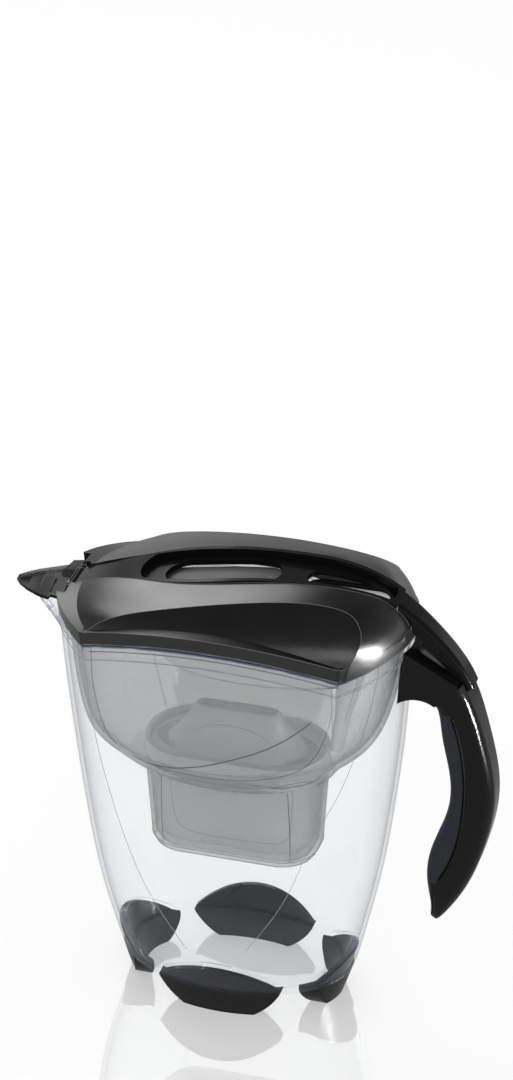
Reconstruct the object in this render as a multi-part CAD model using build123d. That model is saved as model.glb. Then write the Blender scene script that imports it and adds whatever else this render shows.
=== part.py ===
from build123d import *
import os
from math import sqrt

# Water filter pitcher in millimetres: a clear jug, a smoke funnel with a filter cartridge,
# a drop-in meter and a domed lid. X runs from the spout to the handle, Z is up.

# Jug
jug_wall = 2.4
rim_wall = 1.6
rim_band = 8.5
rim_proud = 0.7
rim_corner_z = 241.5
rim_side_rise = 10.5
rim_end_rise = 6.5
rim_corner_spout = -76.0
rim_corner_handle = 71.0
rim_corner_y = 54.5
jug_floor_z = 17.0
floor_thickness = 3.0
panel_radius = 355.0
panel_x = -2.3
spout_root = -96.0
spout_tip = -126.5
spout_tip_z = 246.4
spout_half = 18.7
spout_top_start = -99.0
spout_lift = 0.6
nose_share = 0.33
spout_bulge = 0.09

# Feet
foot_half_width = 37.0
foot_end_half_width = 26.5
foot_tip_z = 17.0
foot_top_z = 32.0
foot_drop = 6.0
foot_depth = 8.0
flange_depth = 3.2
flange_skin = 1.5
pocket_gap = 0.15

# Funnel
funnel_wall = 2.0
rim_gap = 0.3
flange_thickness = 1.6
funnel_floor_z = 149.0
seat_z = 151.5
chamber_x = -2.3
chamber_length = 106.0
chamber_width = 58.0
chamber_bottom_z = 93.0
chamber_draft = 3.0
post_length = 18.0
post_width = 14.0
post_height = 28.0
notch_depth = 6.0
drain_x = 26.0
drain_step = 8.0
drain_radius = 2.5

# Cartridge
fit_gap = 0.3
cup_wall = 1.5
collar_length = 107.0
collar_width = 60.0
collar_height = 11.5
cup_bottom_gap = 2.5
post_gap = 0.8
dome_height = 24.0
dome_wall = 1.8
dome_sink = 3.6
scoop_x = 55.5
scoop_rise = 29.7
scoop_radius = 29.5
slot_length = 4.8
slot_width = 1.2
slot_offset_x = 18.4
slot_offset_y = 2.6
tray_depth = 3.0
tray_floor = 1.6
window_start = 33.0
mesh_thickness = 0.8
bottom_window_x = 25.0
bottom_window_radius = 7.0

# Meter
meter_x = 62.8
meter_frame_length = 59.0
meter_frame_width = 24.0
meter_frame_z = 249.5
meter_frame_height = 12.0
meter_wall = 1.6
case_length = 47.0
case_width = 16.0
case_top_z = 267.8
case_wall = 1.3
case_flat_end = 19.5
deck_height = 6.0
display_length = 25.0
display_width = 8.8
display_x = -4.5
display_sink = 0.15
button_x = 15.2
button_radius = 3.8
button_height = 2.0
button_seat = 2.4
board_thickness = 1.2
cell_radius = 5.4
cell_thickness = 2.6
probe_bottom_z = 166.0
electrode_radius = 0.8
electrode_spread = 2.0
electrode_reach = 1.5
loop_x = -17.0
loop_outer = 6.8
loop_inner = 4.9
loop_thickness = 1.4
loop_drop = 9.5
lug_half = 6.5
skirt_hole = 3.0
skirt_hole_places = (-12.0, 9.0)

# Lid
lid_wall = 2.2
lid_band = 7.6
lip_depth = 6.0
lip_wall = 1.8
lip_inset = 8.2
ridge_thickness = 7.5
ridge_wall = 3.2
trough_depth = 4.6
trough_start = -58.0
trough_end = 90.0
fill_start = -44.0
fill_end = 24.0
fill_half_width = 13.0
flap_thickness = 1.8
pin_radius = 1.0
pin_clearance = 0.05
hinge_gap = 0.5
spine_last = 9
collar_wall = 1.6
knuckle_radius = 2.3
knuckle_half = 8.6
knuckle_length = 3.2
flap_hinge_x = -47.5
flap_barrel = 11.5
lug_width = 2.4
spring_wire = 0.6
spring_turns = 4
tail_start = 7
tail_end_x = 92.9
tail_wall = 1.6
tail_depth = 8.5
tail_gap = 0.5
tail_round = 3.2
beak_tip = -133.5
beak_wall = 1.9
beak_lip = 2.0
beak_hinge_x = -98.0
beak_hinge_z = 251.9
beak_knuckle = 3.0
mouth_half = 23.8
mouth_x = -96.5
channel_half = 13.3
channel_x = -93.0

# Handle
bracket_root_half = 16.0
bracket_end_half = 13.4
bracket_taper_x = 100.0
bracket_end_x = 131.0
section_round = 0.62
locator_start = (107.0, 239.5)
locator_radius = 5.2
pad_length = 4.0
locator_length = 17.0
locator_sink = 1.5

# Each form is an oval one trimmed by a front and a back panel, which show where they are the
# narrower. An oval's rows are height, spout end, handle end and half width; a panel's rows are
# height and half width.
jug_ovals = [
    (17.0, -72.0, 68.0, 46.3),
    (35.0, -77.3, 73.0, 49.6),
    (56.0, -83.0, 78.3, 53.0),
    (78.0, -87.5, 82.7, 56.2),
    (118.0, -93.4, 89.4, 63.1),
    (169.0, -98.8, 94.8, 70.8),
    (207.0, -102.6, 97.4, 74.9),
    (243.0, -105.0, 99.3, 77.6),
    (262.0, -106.0, 100.2, 78.9),
]
jug_panels = [
    (17.0, 49.6), (35.0, 50.3), (56.0, 51.5), (78.0, 52.5), (118.0, 55.4),
    (169.0, 58.0), (207.0, 60.0), (243.0, 61.5), (262.0, 62.2),
]
foot_ovals = [
    (0.0, -66.5, 62.5, 42.6),
    (9.0, -69.6, 65.4, 44.7),
    (19.0, -72.6, 68.6, 46.7),
    (40.0, -78.7, 74.4, 50.5),
]
foot_panels = [(0.0, 49.0), (40.0, 50.6)]
funnel_ovals = [
    (149.0, -56.5, 51.9, 30.0),
    (152.5, -69.0, 55.5, 37.0),
    (157.5, -80.0, 62.0, 43.5),
    (164.0, -86.0, 68.5, 49.5),
    (172.0, -90.0, 76.0, 57.5),
    (184.0, -93.5, 84.0, 66.0),
    (207.0, -97.0, 91.0, 71.5),
    (243.0, -99.8, 94.8, 73.4),
    (262.0, -100.8, 95.8, 74.3),
]
funnel_panels = [(145.0, 51.0), (172.0, 52.6), (207.0, 55.8), (243.0, 57.4), (265.0, 58.0)]
lid_ovals = [
    (238.0, -105.0, 100.6, 78.4),
    (249.0, -104.0, 102.6, 79.0),
    (256.0, -95.0, 101.4, 78.0),
    (262.0, -81.0, 98.4, 76.0),
    (268.0, -56.0, 93.4, 70.0),
    (273.5, -24.0, 86.4, 54.5),
    (278.0, 6.0, 77.0, 35.0),
    (280.4, 30.0, 62.0, 15.0),
]
lid_panels = [(236.0, 62.4), (249.0, 61.6), (256.0, 59.2), (262.0, 55.0), (268.0, 49.0),
              (273.5, 42.5), (278.0, 37.0), (282.0, 31.0)]
# The spout: height, tip and half width.
spout_levels = [
    (211.0, spout_tip + 23.6, spout_half - 12.7),
    (220.0, spout_tip + 18.9, spout_half - 8.7),
    (230.0, spout_tip + 12.3, spout_half - 4.7),
    (240.0, spout_tip + 5.1, spout_half - 1.5),
    (252.0, spout_tip - 2.9, spout_half + 1.3),
]
# The cartridge's dome: height above its base, length, width and corner.
dome_levels = [
    (0.0, 80.0, 42.0, 20.5),
    (3.0, 77.0, 37.0, 18.0),
    (9.0, 68.0, 27.0, 13.0),
    (16.0, 58.5, 18.5, 9.0),
    (21.5, 52.0, 13.0, 6.3),
    (dome_height, 48.0, 9.5, 4.6),
]
# The meter's probe: height, spout side and handle side from the meter's middle, half depth.
probe_flare = [
    (255.5, -24.0, 24.0, 9.4),
    (251.0, -20.5, 22.3, 9.0),
    (247.5, -14.0, 20.4, 8.6),
    (244.0, -8.2, 18.2, 8.2),
    (240.5, -5.2, 16.4, 7.8),
    (236.0, -4.3, 14.8, 7.4),
]
probe_taper = [
    (236.0, -4.3, 14.8, 7.4),
    (188.0, -7.5, 1.9, 5.0),
    (probe_bottom_z, -10.2, -2.3, 4.2),
]
# The cover over the spout: place, half width, half width of its crest, its lower edge and its crest.
beak_sections = [
    (-98.9, 22.3, 5.0, 250.4, 255.0),
    (-106.5, 20.4, 4.4, 250.2, 255.0),
    (-108.5, 19.7, 4.2, 247.6, 254.8),
    (-116.0, 16.2, 3.2, 247.0, 253.6),
    (-124.0, 11.2, 2.2, 246.8, 251.3),
    (-130.0, 6.0, 1.4, 246.7, 249.3),
    (beak_tip, 1.4, 0.6, 246.7, 247.9),
]
# The spine over the lid: along the lid, half width, height of its two ridges.
spine_stations = [
    (-96.0, 12.0, 254.6),
    (-85.0, 11.0, 259.0),
    (-64.0, 14.0, 265.6),
    (-34.0, 21.0, 271.8),
    (6.0, 20.2, 278.4),
    (40.0, 17.6, 280.6),
    (60.0, 16.2, 279.8),
    (76.0, 13.4, 277.0),
    (93.0, 9.6, 270.6),
    (108.5, 8.2, 258.8),
    (124.6, 7.6, 242.2),
    (136.6, 7.2, 223.2),
]
# The handle: outer point, inner point and half width of each section down the grip.
handle_sections = [
    ((131.0, 226.0), (112.0, 214.0), 14.0),
    ((137.5, 212.0), (118.0, 203.0), 13.8),
    ((144.0, 192.0), (120.0, 187.0), 13.4),
    ((149.6, 168.0), (124.0, 167.0), 13.2),
    ((151.0, 150.0), (125.0, 150.0), 13.0),
    ((148.2, 128.0), (121.0, 131.0), 12.6),
    ((140.5, 101.0), (113.5, 107.0), 11.4),
    ((129.0, 77.0), (113.5, 84.0), 8.8),
    ((118.5, 62.5), (114.6, 65.5), 3.4),
]

# The handle's bracket and its soft inlay seen from the side; the arch bends the closing edge.
bracket_corners = [(116.0, 212.0), (126.0, 216.0), (129.0, 226.6), (114.0, 235.4), (96.0, 246.0),
                   (90.0, 246.0), (90.0, 211.0), (94.8, 211.0)]
bracket_arch = (106.5, 215.4)
inlay_corners = [(119.0, 92.0), (105.0, 92.0), (112.0, 207.0), (126.0, 207.0)]
inlay_arch = (134.5, 155.0)

jug_form = (jug_ovals, jug_panels)
foot_form = (foot_ovals, foot_panels)
funnel_form = (funnel_ovals, funnel_panels)
lid_form = (lid_ovals, lid_panels)
loft_sections = 9
panel_sections = 6
reach_all = 150.0
below_all = -5.0
above_all = 262.0
handle_reach = max(outer[0] for outer, inner, half_width in handle_sections)
shift_x = -(handle_reach + beak_tip) / 2


def plan_arc(half, radius, reach):
    """Half width of a panel of this radius at a distance from its middle."""
    return half - radius + sqrt(radius ** 2 - reach ** 2)


def oval_wire(z, spout_end, handle_end, half_width):
    middle = (spout_end + handle_end) / 2
    plane = Plane(origin=(middle, 0, z))
    return Wire([Edge.make_ellipse((handle_end - spout_end) / 2, half_width, plane=plane)])


def panel_wire(z, half_width, reach=128.0):
    side = plan_arc(half_width, panel_radius, reach)
    left = panel_x - reach
    right = panel_x + reach
    return Wire([
        Edge.make_three_point_arc((left, -side, z), (panel_x, -half_width, z), (right, -side, z)),
        Edge.make_line((right, -side, z), (right, side, z)),
        Edge.make_three_point_arc((right, side, z), (panel_x, half_width, z), (left, side, z)),
        Edge.make_line((left, side, z), (left, -side, z)),
    ])


def even_rows(rows, count):
    """Rows at equal steps along the form's profile, so that a loft through them stays smooth."""
    along = [0.0]
    for before, after in zip(rows, rows[1:]):
        half_change = (after[2] - after[1] - before[2] + before[1]) / 2 if len(after) > 2 else 0.0
        along.append(along[-1] + sqrt((after[0] - before[0]) ** 2 + half_change ** 2))
    result = []
    for i in range(count):
        place = along[-1] * i / (count - 1)
        k = max(j for j in range(len(rows) - 1) if along[j] <= place + 1e-9)
        part = (place - along[k]) / (along[k + 1] - along[k])
        result.append(tuple(a + part * (b - a) for a, b in zip(rows[k], rows[k + 1])))
    return result


def shell_form(form, inset=0.0, lift=0.0):
    """The solid of a form, drawn in by an inset and moved up by a lift."""
    ovals, panels = form
    oval_solid = Solid.make_loft([
        oval_wire(z + lift, spout_end + inset, handle_end - inset, half_width - inset)
        for z, spout_end, handle_end, half_width in even_rows(ovals, loft_sections)])
    panel_solid = Solid.make_loft([
        panel_wire(z + lift, half_width - inset) for z, half_width in even_rows(panels, panel_sections)])
    return oval_solid & panel_solid


def extrude_profile(points_edges, direction):
    return Solid.extrude(Face(Wire(points_edges)), Vector(*direction))


def side_prism(points, half, arch=None):
    """A solid with this outline of X and Z points, as far as half on both sides of the middle.

    The closing edge bends through the arch, where there is one."""
    corners = [Vector(x, -half, z) for x, z in points]
    edges = [Edge.make_line(start, end) for start, end in zip(corners, corners[1:])]
    if arch:
        bend = Vector(arch[0], -half, arch[1])
        edges.append(Edge.make_three_point_arc(corners[-1], bend, corners[0]))
    else:
        edges.append(Edge.make_line(corners[-1], corners[0]))
    return Solid.extrude(Face(Wire(edges)), Vector(0, 2 * half, 0))


def below_rim(offset):
    """Everything under the waved rim line, moved up by the offset."""
    corner = rim_corner_z + offset
    middle = (rim_corner_spout + rim_corner_handle) / 2
    body = side_prism([(rim_corner_spout, corner), (rim_corner_spout, below_all),
                       (rim_corner_handle, below_all), (rim_corner_handle, corner)],
                      reach_all, (middle, corner + rim_side_rise))
    for start, length in ((rim_corner_spout, -reach_all), (rim_corner_handle, reach_all)):
        near = (start, -rim_corner_y, corner)
        far = (start, rim_corner_y, corner)
        body = body + extrude_profile([
            Edge.make_line((start, -rim_corner_y, below_all), (start, rim_corner_y, below_all)),
            Edge.make_line((start, rim_corner_y, below_all), far),
            Edge.make_three_point_arc(far, (start, 0, corner + rim_end_rise), near),
            Edge.make_line(near, (start, -rim_corner_y, below_all)),
        ], (length, 0, 0))
    return body


def block(low, high):
    size = [high[i] - low[i] for i in range(3)]
    return Solid.make_box(*size, plane=Plane(origin=low))


def nose_wire(z, tip, half):
    """A plan outline that runs from the spout's root to a rounded tip."""
    nose = nose_share * half
    join_x = tip + 0.28 * nose
    join_y = 0.70 * nose
    side_x = (spout_root + join_x) / 2
    side_y = (half + join_y) / 2 + spout_bulge * (spout_root - tip)
    near = [(spout_root, -half, z), (side_x, -side_y, z), (join_x, -join_y, z)]
    far = [(join_x, join_y, z), (side_x, side_y, z), (spout_root, half, z)]
    return Wire([
        Edge.make_line(far[2], near[0]),
        Edge.make_three_point_arc(*near),
        Edge.make_three_point_arc(near[2], (tip, 0, z), far[0]),
        Edge.make_three_point_arc(*far),
    ])


def upright(radius, x, y, low, high):
    """A round pin or hole along Z between two heights."""
    return Solid.make_cylinder(radius, high - low, plane=Plane(origin=(x, y, low)))


def spout_form(inset=0.0, lift=0.0):
    """The beak-shaped spout: pointed sections that grow out of the jug's end."""
    return Solid.make_loft([nose_wire(z + lift, tip + 1.5 * inset, half - inset)
                            for z, tip, half in spout_levels])


def below_spout():
    """Under the spout's top line, which falls a little towards its tip."""
    start_z = rim_corner_z + rim_end_rise + spout_lift
    fall = (start_z - spout_tip_z) / (spout_top_start - spout_tip)
    end_x = spout_tip - 25.0
    end_z = start_z - fall * (spout_top_start - end_x)
    root_x = spout_root + 6.0
    base = rim_corner_z - 60.0
    return side_prism([(end_x, base), (root_x, base), (root_x, start_z), (spout_top_start, start_z),
                       (end_x, end_z)], 40.0)


def lens_prism(centre_x, half, grow, along):
    """A lens outline seen from one side, run through the jug's wall there."""
    tip = half + grow
    top = foot_top_z + grow
    bottom = -foot_drop - grow
    if along in ("front", "back"):
        sign = -1 if along == "front" else 1
        y = sign * 20.0
        outline = [
            Edge.make_three_point_arc((centre_x - tip, y, foot_tip_z), (centre_x, y, top),
                                      (centre_x + tip, y, foot_tip_z)),
            Edge.make_three_point_arc((centre_x + tip, y, foot_tip_z), (centre_x, y, bottom),
                                      (centre_x - tip, y, foot_tip_z)),
        ]
        return extrude_profile(outline, (0, sign * 60.0, 0))
    sign = -1 if along == "spout" else 1
    x = centre_x + sign * 25.0
    outline = [
        Edge.make_three_point_arc((x, -tip, foot_tip_z), (x, 0, top), (x, tip, foot_tip_z)),
        Edge.make_three_point_arc((x, tip, foot_tip_z), (x, 0, bottom), (x, -tip, foot_tip_z)),
    ]
    return extrude_profile(outline, (sign * 70.0, 0, 0))


def foot_lens(side, grow):
    half = foot_half_width if side in ("front", "back") else foot_end_half_width
    return lens_prism(panel_x, half, grow, side)


def ring_between(levels, near, far):
    return shell_form(levels, near) - shell_form(levels, far)


def make_feet():
    """Four black lens-shaped feet: a thick sole under the jug and a flange inside its skirt."""
    sole_shell = ring_between(foot_form, 0.0, foot_depth) & block((-150, -100, 0), (150, 100, jug_floor_z))
    flange_room = block((-150, -100, jug_floor_z - 1), (150, 100, foot_top_z + 4))
    flange_shell = ring_between(foot_form, flange_skin, flange_skin + flange_depth) & flange_room
    pocket_near = flange_skin - pocket_gap
    pocket_far = flange_skin + flange_depth + pocket_gap
    pocket_shell = ring_between(foot_form, pocket_near, pocket_far) & flange_room
    feet = {}
    pockets = []
    for side in ("front", "back", "spout", "handle"):
        lens = foot_lens(side, 0.0)
        feet["foot_" + side] = (lens & sole_shell) + (lens & flange_shell)
        pockets.append(foot_lens(side, pocket_gap) & pocket_shell)
    return feet, pockets


def make_jug(pockets):
    outer = shell_form(jug_form) & block((-200, -100, jug_floor_z), (200, 100, 262))
    band = shell_form(jug_form, -rim_proud) & below_rim(0.0)
    band = band - below_rim(-rim_band)
    body = (outer & below_rim(0.0)) + band
    body = body + (spout_form() & below_spout())
    above_floor = block((-200, -100, jug_floor_z + floor_thickness), (200, 100, above_all))
    cavity = shell_form(jug_form, jug_wall) & above_floor
    boss_shell = ring_between(foot_form, -1.0, flange_skin + flange_depth + 1.6)
    for side in ("front", "back", "spout", "handle"):
        cavity = cavity - (foot_lens(side, 2.0) & boss_shell)
    upper = shell_form(jug_form, rim_wall) & block((-200, -100, 200), (200, 100, 262))
    cavity = cavity + (upper - below_rim(-10.0))
    body = body - cavity
    inner_spout = spout_form(jug_wall, 1.0)
    body = body - inner_spout
    for pocket in pockets:
        body = body - pocket
    return body


def rounded_wire(z, length, width, radius, centre=chamber_x):
    plane = Plane(origin=(centre, 0, z))
    return (plane * RectangleRounded(length, width, radius)).wire()


def rounded_loft(levels, centre=chamber_x):
    return Solid.make_loft([rounded_wire(z, length, width, radius, centre)
                            for z, length, width, radius in levels], ruled=True)


def chamber_form(inset, lift):
    bottom_length = chamber_length - 2 * chamber_draft
    bottom_width = chamber_width - 2 * chamber_draft
    corner = 22.0 - inset
    base = chamber_bottom_z + lift
    return rounded_loft([
        (base, bottom_length - 2 * inset - 10, bottom_width - 2 * inset - 10, corner - 5),
        (base + 2, bottom_length - 2 * inset - 4, bottom_width - 2 * inset - 4, corner - 2),
        (base + 6, bottom_length - 2 * inset, bottom_width - 2 * inset, corner),
        (seat_z + 1, chamber_length - 2 * inset, chamber_width - 2 * inset, corner + 1),
    ])


def make_funnel():
    bowl = shell_form(funnel_form) & below_rim(rim_gap + 1.0)
    flange = shell_form(jug_form) & below_rim(rim_gap + flange_thickness)
    flange = flange - below_rim(rim_gap)
    body = bowl + flange
    body = body & below_rim(rim_gap + flange_thickness)
    body = body + (chamber_form(0.0, 0.0) & block((-80, -60, 0), (80, 60, funnel_floor_z + 2)))
    bowl_inner = shell_form(funnel_form, funnel_wall, funnel_wall)
    body = body - bowl_inner
    seat = rounded_loft([
        (seat_z, collar_length + 2 * fit_gap, collar_width + 2 * fit_gap, 28.0),
        (seat_z + 14, collar_length + 2 * fit_gap, collar_width + 2 * fit_gap, 28.0),
    ])
    body = body - seat - chamber_form(funnel_wall, funnel_wall)
    # The bowl's lip is lower at the spout, and the flange stops there, so water can pour past.
    body = body - block((-130, -spout_half - 1, rim_corner_z - notch_depth), (-88, spout_half + 1, 262))
    floor = chamber_bottom_z + funnel_wall
    post = rounded_loft([
        (floor - 1, post_length + 3, post_width + 3, 4.0),
        (floor + 5, post_length, post_width, 4.0),
        (floor + post_height, post_length - 2, post_width - 2, 4.0),
    ])
    body = body + post
    for side in (-1, 1):
        for place in (-1, 0, 1):
            hole_x = chamber_x + side * drain_x + place * drain_step
            body = body - upright(drain_radius, hole_x, 0, floor - 6, floor + 6)
    return body


def cup_form(inset, lift):
    bottom = cup_bottom() + lift
    length = chamber_length - 2 * funnel_wall - 4.0 - 2 * inset
    width = chamber_width - 2 * funnel_wall - 3.0 - 2 * inset
    corner = 20.0 - inset
    return rounded_loft([
        (bottom, length - 20, width - 20, corner - 9),
        (bottom + 2.5, length - 11, width - 12, corner - 5),
        (bottom + 8, length - 5, width - 6, corner - 2),
        (seat_z + fit_gap + 1, length, width, corner),
    ])


def post_socket(grow, top_up):
    floor = chamber_bottom_z + funnel_wall
    length = post_length + 3 + 2 * grow
    width = post_width + 3 + 2 * grow
    return rounded_loft([(floor - 2, length, width, 4.0 + grow / 2),
                         (floor + post_height + top_up, length, width, 4.0 + grow / 2)])


def plan_oval(z, end, half_width, height):
    """An upright oval prism about the chamber's middle."""
    wire = oval_wire(z, chamber_x - end, chamber_x + end, half_width)
    return Solid.extrude(Face(wire), Vector(0, 0, height))


def dome_form(base, inset, lift):
    """The long grip on the cartridge: a loaf with a flat crest and a scooped end."""
    dome = Solid.make_loft([
        rounded_wire(base + height + lift, length - 2 * inset, width - 2 * inset, corner - inset)
        for height, length, width, corner in dome_levels])
    scoop = y_cylinder(chamber_x + scoop_x, base + scoop_rise, scoop_radius + inset, -30, 30)
    return dome - scoop


def cartridge_collar(collar_z, top_z):
    """The collar with its sunk tray; it is hollow from below."""
    collar = rounded_loft([
        (collar_z, collar_length - 3, collar_width - 3, 27.0),
        (collar_z + 1.5, collar_length, collar_width, 28.0),
        (top_z, collar_length, collar_width, 28.0),
    ])
    tray = rounded_loft([
        (top_z - tray_depth, collar_length - 6, collar_width - 6, 25.0),
        (top_z + 1, collar_length - 4, collar_width - 4, 26.0),
    ])
    hollow = rounded_loft([
        (collar_z - 1, collar_length - 14, collar_width - 10, 22.0),
        (top_z - tray_depth - tray_floor, collar_length - 14, collar_width - 10, 22.0),
    ])
    return collar - tray - hollow


def tray_windows(z, height):
    """Two half-moon openings in the tray, one at each end of the dome."""
    far_end = collar_length / 2 - 5.5
    near_end = dome_levels[0][1] / 2 + 1.5
    moon = plan_oval(z, far_end, collar_width / 2 - 6.0, height)
    moon = moon - plan_oval(z - 1, near_end, dome_levels[0][2] / 2 + 1.0, height + 2)
    ends = []
    for side in (-1, 1):
        low, high = sorted((chamber_x + side * window_start, chamber_x + side * far_end))
        ends.append(moon & block((low, -collar_width, z), (high, collar_width, z + height)))
    return ends


def make_cartridge():
    collar_z = seat_z + fit_gap
    top_z = collar_z + collar_height
    below_collar = block((-80, -60, 0), (80, 60, collar_z))
    core = cup_form(cup_wall, cup_wall) & below_collar
    core = core - post_socket(post_gap + cup_wall, 1.0 + cup_wall)
    bottom_windows = []
    for side in (-1, 1):
        plane = Plane(origin=(chamber_x + side * bottom_window_x, 0, cup_bottom() - 3))
        bottom_windows.append(Solid.make_cylinder(bottom_window_radius, 10, plane=plane))
    cup = (cup_form(0.0, 0.0) & below_collar) - core - post_socket(post_gap, 1.0)
    mesh_top = cup_bottom() + cup_wall
    bottom_mesh = []
    for window in bottom_windows:
        cup = cup - window
        bottom_mesh.append(window & block((-80, -60, mesh_top - mesh_thickness), (80, 60, mesh_top)))
    media = core & block((-80, -60, 0), (80, 60, collar_z - 3))
    dome_z = top_z - dome_sink
    head = cartridge_collar(collar_z, top_z) + dome_form(dome_z, 0.0, 0.0)
    base_height, base_length, base_width, base_corner = dome_levels[0]
    base_plan = (base_length - 2 * dome_wall, base_width - 2 * dome_wall, base_corner - dome_wall)
    base_room = rounded_loft([(dome_z - 4, *base_plan), (dome_z + 0.2, *base_plan)])
    head = head - dome_form(dome_z, dome_wall, -dome_wall) - base_room
    mesh_z = top_z - tray_depth - tray_floor + 0.2
    for opening in tray_windows(mesh_z - 2, 6.0):
        head = head - opening
    crest_z = dome_z + dome_height
    for x_side in (-1, 1):
        for y_side in (-1, 1):
            middle_x = chamber_x + x_side * slot_offset_x
            middle_y = y_side * slot_offset_y
            head = head - block((middle_x - slot_length / 2, middle_y - slot_width / 2, crest_z - 3),
                                (middle_x + slot_length / 2, middle_y + slot_width / 2, crest_z + 1))
    return {
        "cartridge_cup": cup,
        "cartridge_head": head,
        "cartridge_top_mesh": Compound(children=tray_windows(mesh_z, mesh_thickness)),
        "cartridge_bottom_mesh": Compound(children=bottom_mesh),
        "filter_media": media,
    }


def cup_bottom():
    return chamber_bottom_z + funnel_wall + cup_bottom_gap


def y_cylinder(x, z, radius, low, high):
    """A cylinder along Y between two values of Y."""
    return Solid.make_cylinder(radius, high - low, plane=Plane(origin=(x, low, z), z_dir=(0, 1, 0)))


def stadium(z, length, width, height, centre):
    plane = Plane(origin=(centre, 0, z))
    return Solid.extrude((plane * SlotOverall(length, width)).face(), Vector(0, 0, height))


def case_shape(z, height, grow):
    """The case's plan: round at the handle end and cut straight at the spout end."""
    shape = stadium(z, case_length + 2 * grow, case_width + 2 * grow, height, meter_x)
    flat_end = meter_x - case_flat_end - grow
    return shape & block((flat_end, -case_width, z), (meter_x + case_length, case_width, z + height))


def make_frame():
    """The clear frame: a deck with a well for the case, a skirt, and lugs for the loop's pin."""
    base = meter_frame_z
    inner_length = meter_frame_length - 2 * meter_wall
    inner_width = meter_frame_width - 2 * meter_wall
    room = stadium(base - 1, inner_length, inner_width, meter_frame_height, meter_x)
    frame = stadium(base, meter_frame_length, meter_frame_width, meter_frame_height, meter_x)
    frame = frame - stadium(base - 1, inner_length, inner_width, meter_frame_height - 1.4 + 1, meter_x)
    frame = frame - case_shape(base + deck_height, 20, fit_gap)
    for place in skirt_hole_places:
        frame = frame - block((meter_x + place - skirt_hole / 2, -meter_frame_width, base + 4),
                              (meter_x + place + skirt_hole / 2, meter_frame_width, base + 4 + skirt_hole))
    ring_x = meter_x + loop_x
    ring_y = -meter_frame_width / 2 - 1.2
    pin_z = base + 1.5
    for side in (-1, 1):
        middle = ring_x + side * lug_half
        lug = block((middle - 1, ring_y - 1.5, pin_z - 1.6), (middle + 1, ring_y + 4.0, pin_z + 7.0))
        frame = frame + (lug - room)
    bore_plane = Plane(origin=(ring_x - 10, ring_y, pin_z), z_dir=(1, 0, 0))
    frame = frame - Solid.make_cylinder(pin_radius + pin_clearance, 20, plane=bore_plane)
    pin_plane = Plane(origin=(ring_x - lug_half - 1, ring_y, pin_z), z_dir=(1, 0, 0))
    pin = Solid.make_cylinder(pin_radius, 2 * lug_half + 2, plane=pin_plane)
    return frame, drop_loop(ring_x, ring_y, pin_z) + pin


def probe_loft(rows, ruled):
    return Solid.make_loft([oval_wire(z, meter_x + left, meter_x + right, half)
                            for z, left, right, half in rows], ruled=ruled)


def make_probe():
    """The probe flares under the frame and tapers down to its tip, where two pins meet the water."""
    probe = probe_loft(probe_flare, False) + probe_loft(probe_taper, True)
    middle = meter_x + (probe_taper[-1][1] + probe_taper[-1][2]) / 2
    pins = []
    for side in (-1, 1):
        x = middle + side * electrode_spread
        pins.append(upright(electrode_radius, x, 0, probe_bottom_z - electrode_reach, probe_bottom_z + 5.5))
        probe = probe - upright(electrode_radius, x, 0, probe_bottom_z - 1, probe_bottom_z + 5.5)
    return probe, Compound(children=pins)


def make_meter():
    frame, loop = make_frame()
    probe, electrodes = make_probe()
    case_z = meter_frame_z + deck_height
    case = case_shape(case_z, case_top_z - case_z, 0.0)
    inside = case_shape(case_z + case_wall, case_top_z - case_z - 2 * case_wall, -case_wall)
    window_x = meter_x + display_x
    low = (window_x - display_length / 2, -display_width / 2, case_top_z - 1.0)
    display = block(low, (window_x + display_length / 2, display_width / 2, case_top_z - display_sink))
    window = block(low, (window_x + display_length / 2, display_width / 2, case_top_z + 1))
    button_low = case_top_z - button_seat
    button = upright(button_radius, meter_x + button_x, 0, button_low, case_top_z + button_height)
    button_hole = upright(button_radius + fit_gap, meter_x + button_x, 0, button_low - fit_gap,
                          case_top_z + 1)
    board_z = case_z + 4.0
    cell_z = case_z + case_wall + 0.1
    return {
        "meter_frame": frame,
        "meter_case": case - inside - window - button_hole,
        "meter_display": display,
        "meter_button": button,
        "meter_board": case_shape(board_z, board_thickness, -case_wall - 0.7),
        "meter_cell": upright(cell_radius, meter_x - 8, 0, cell_z, cell_z + cell_thickness),
        "meter_probe": probe,
        "meter_electrodes": electrodes,
        "pull_loop": loop,
    }


def drop_loop(x, y, pin_z):
    """A flat drop-shaped ring that hangs from its own pin."""
    centre_z = pin_z - loop_drop
    half = loop_thickness / 2
    disc = y_cylinder(x, centre_z, loop_outer, y - half, y + half)
    hole = y_cylinder(x, centre_z, loop_inner, y - 2 * half, y + 2 * half)
    neck_half = lug_half - 2.3
    neck = block((x - neck_half, y - half, centre_z + loop_inner - 0.5), (x + neck_half, y + half, pin_z))
    return (disc + neck) - hole


def spine_plan(shrink=0.0, first=0, last=None):
    stations = spine_stations[first:last]
    right = [Vector(x, -(half - shrink), 0) for x, half, z in stations]
    left = [Vector(x, half - shrink, 0) for x, half, z in reversed(stations)]
    near = Edge.make_spline(right)
    far = Edge.make_spline(left)
    return Wire([near, Edge.make_line(right[-1], left[0]), far, Edge.make_line(left[-1], right[0])])


def spine_lines(thickness, first=0, last=None, drop=0.0):
    """The spine's ridge line seen from the side, lowered by a drop, and the line under it."""
    stations = spine_stations[first:last]
    top = [Vector(x, 0, z - drop) for x, half, z in stations]
    bottom = []
    for i, point in enumerate(top):
        along = top[min(i + 1, len(top) - 1)] - top[max(i - 1, 0)]
        inward = Vector(along.Z, 0, -along.X).normalized()
        bottom.append(point + inward * thickness)
    return top, bottom


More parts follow.
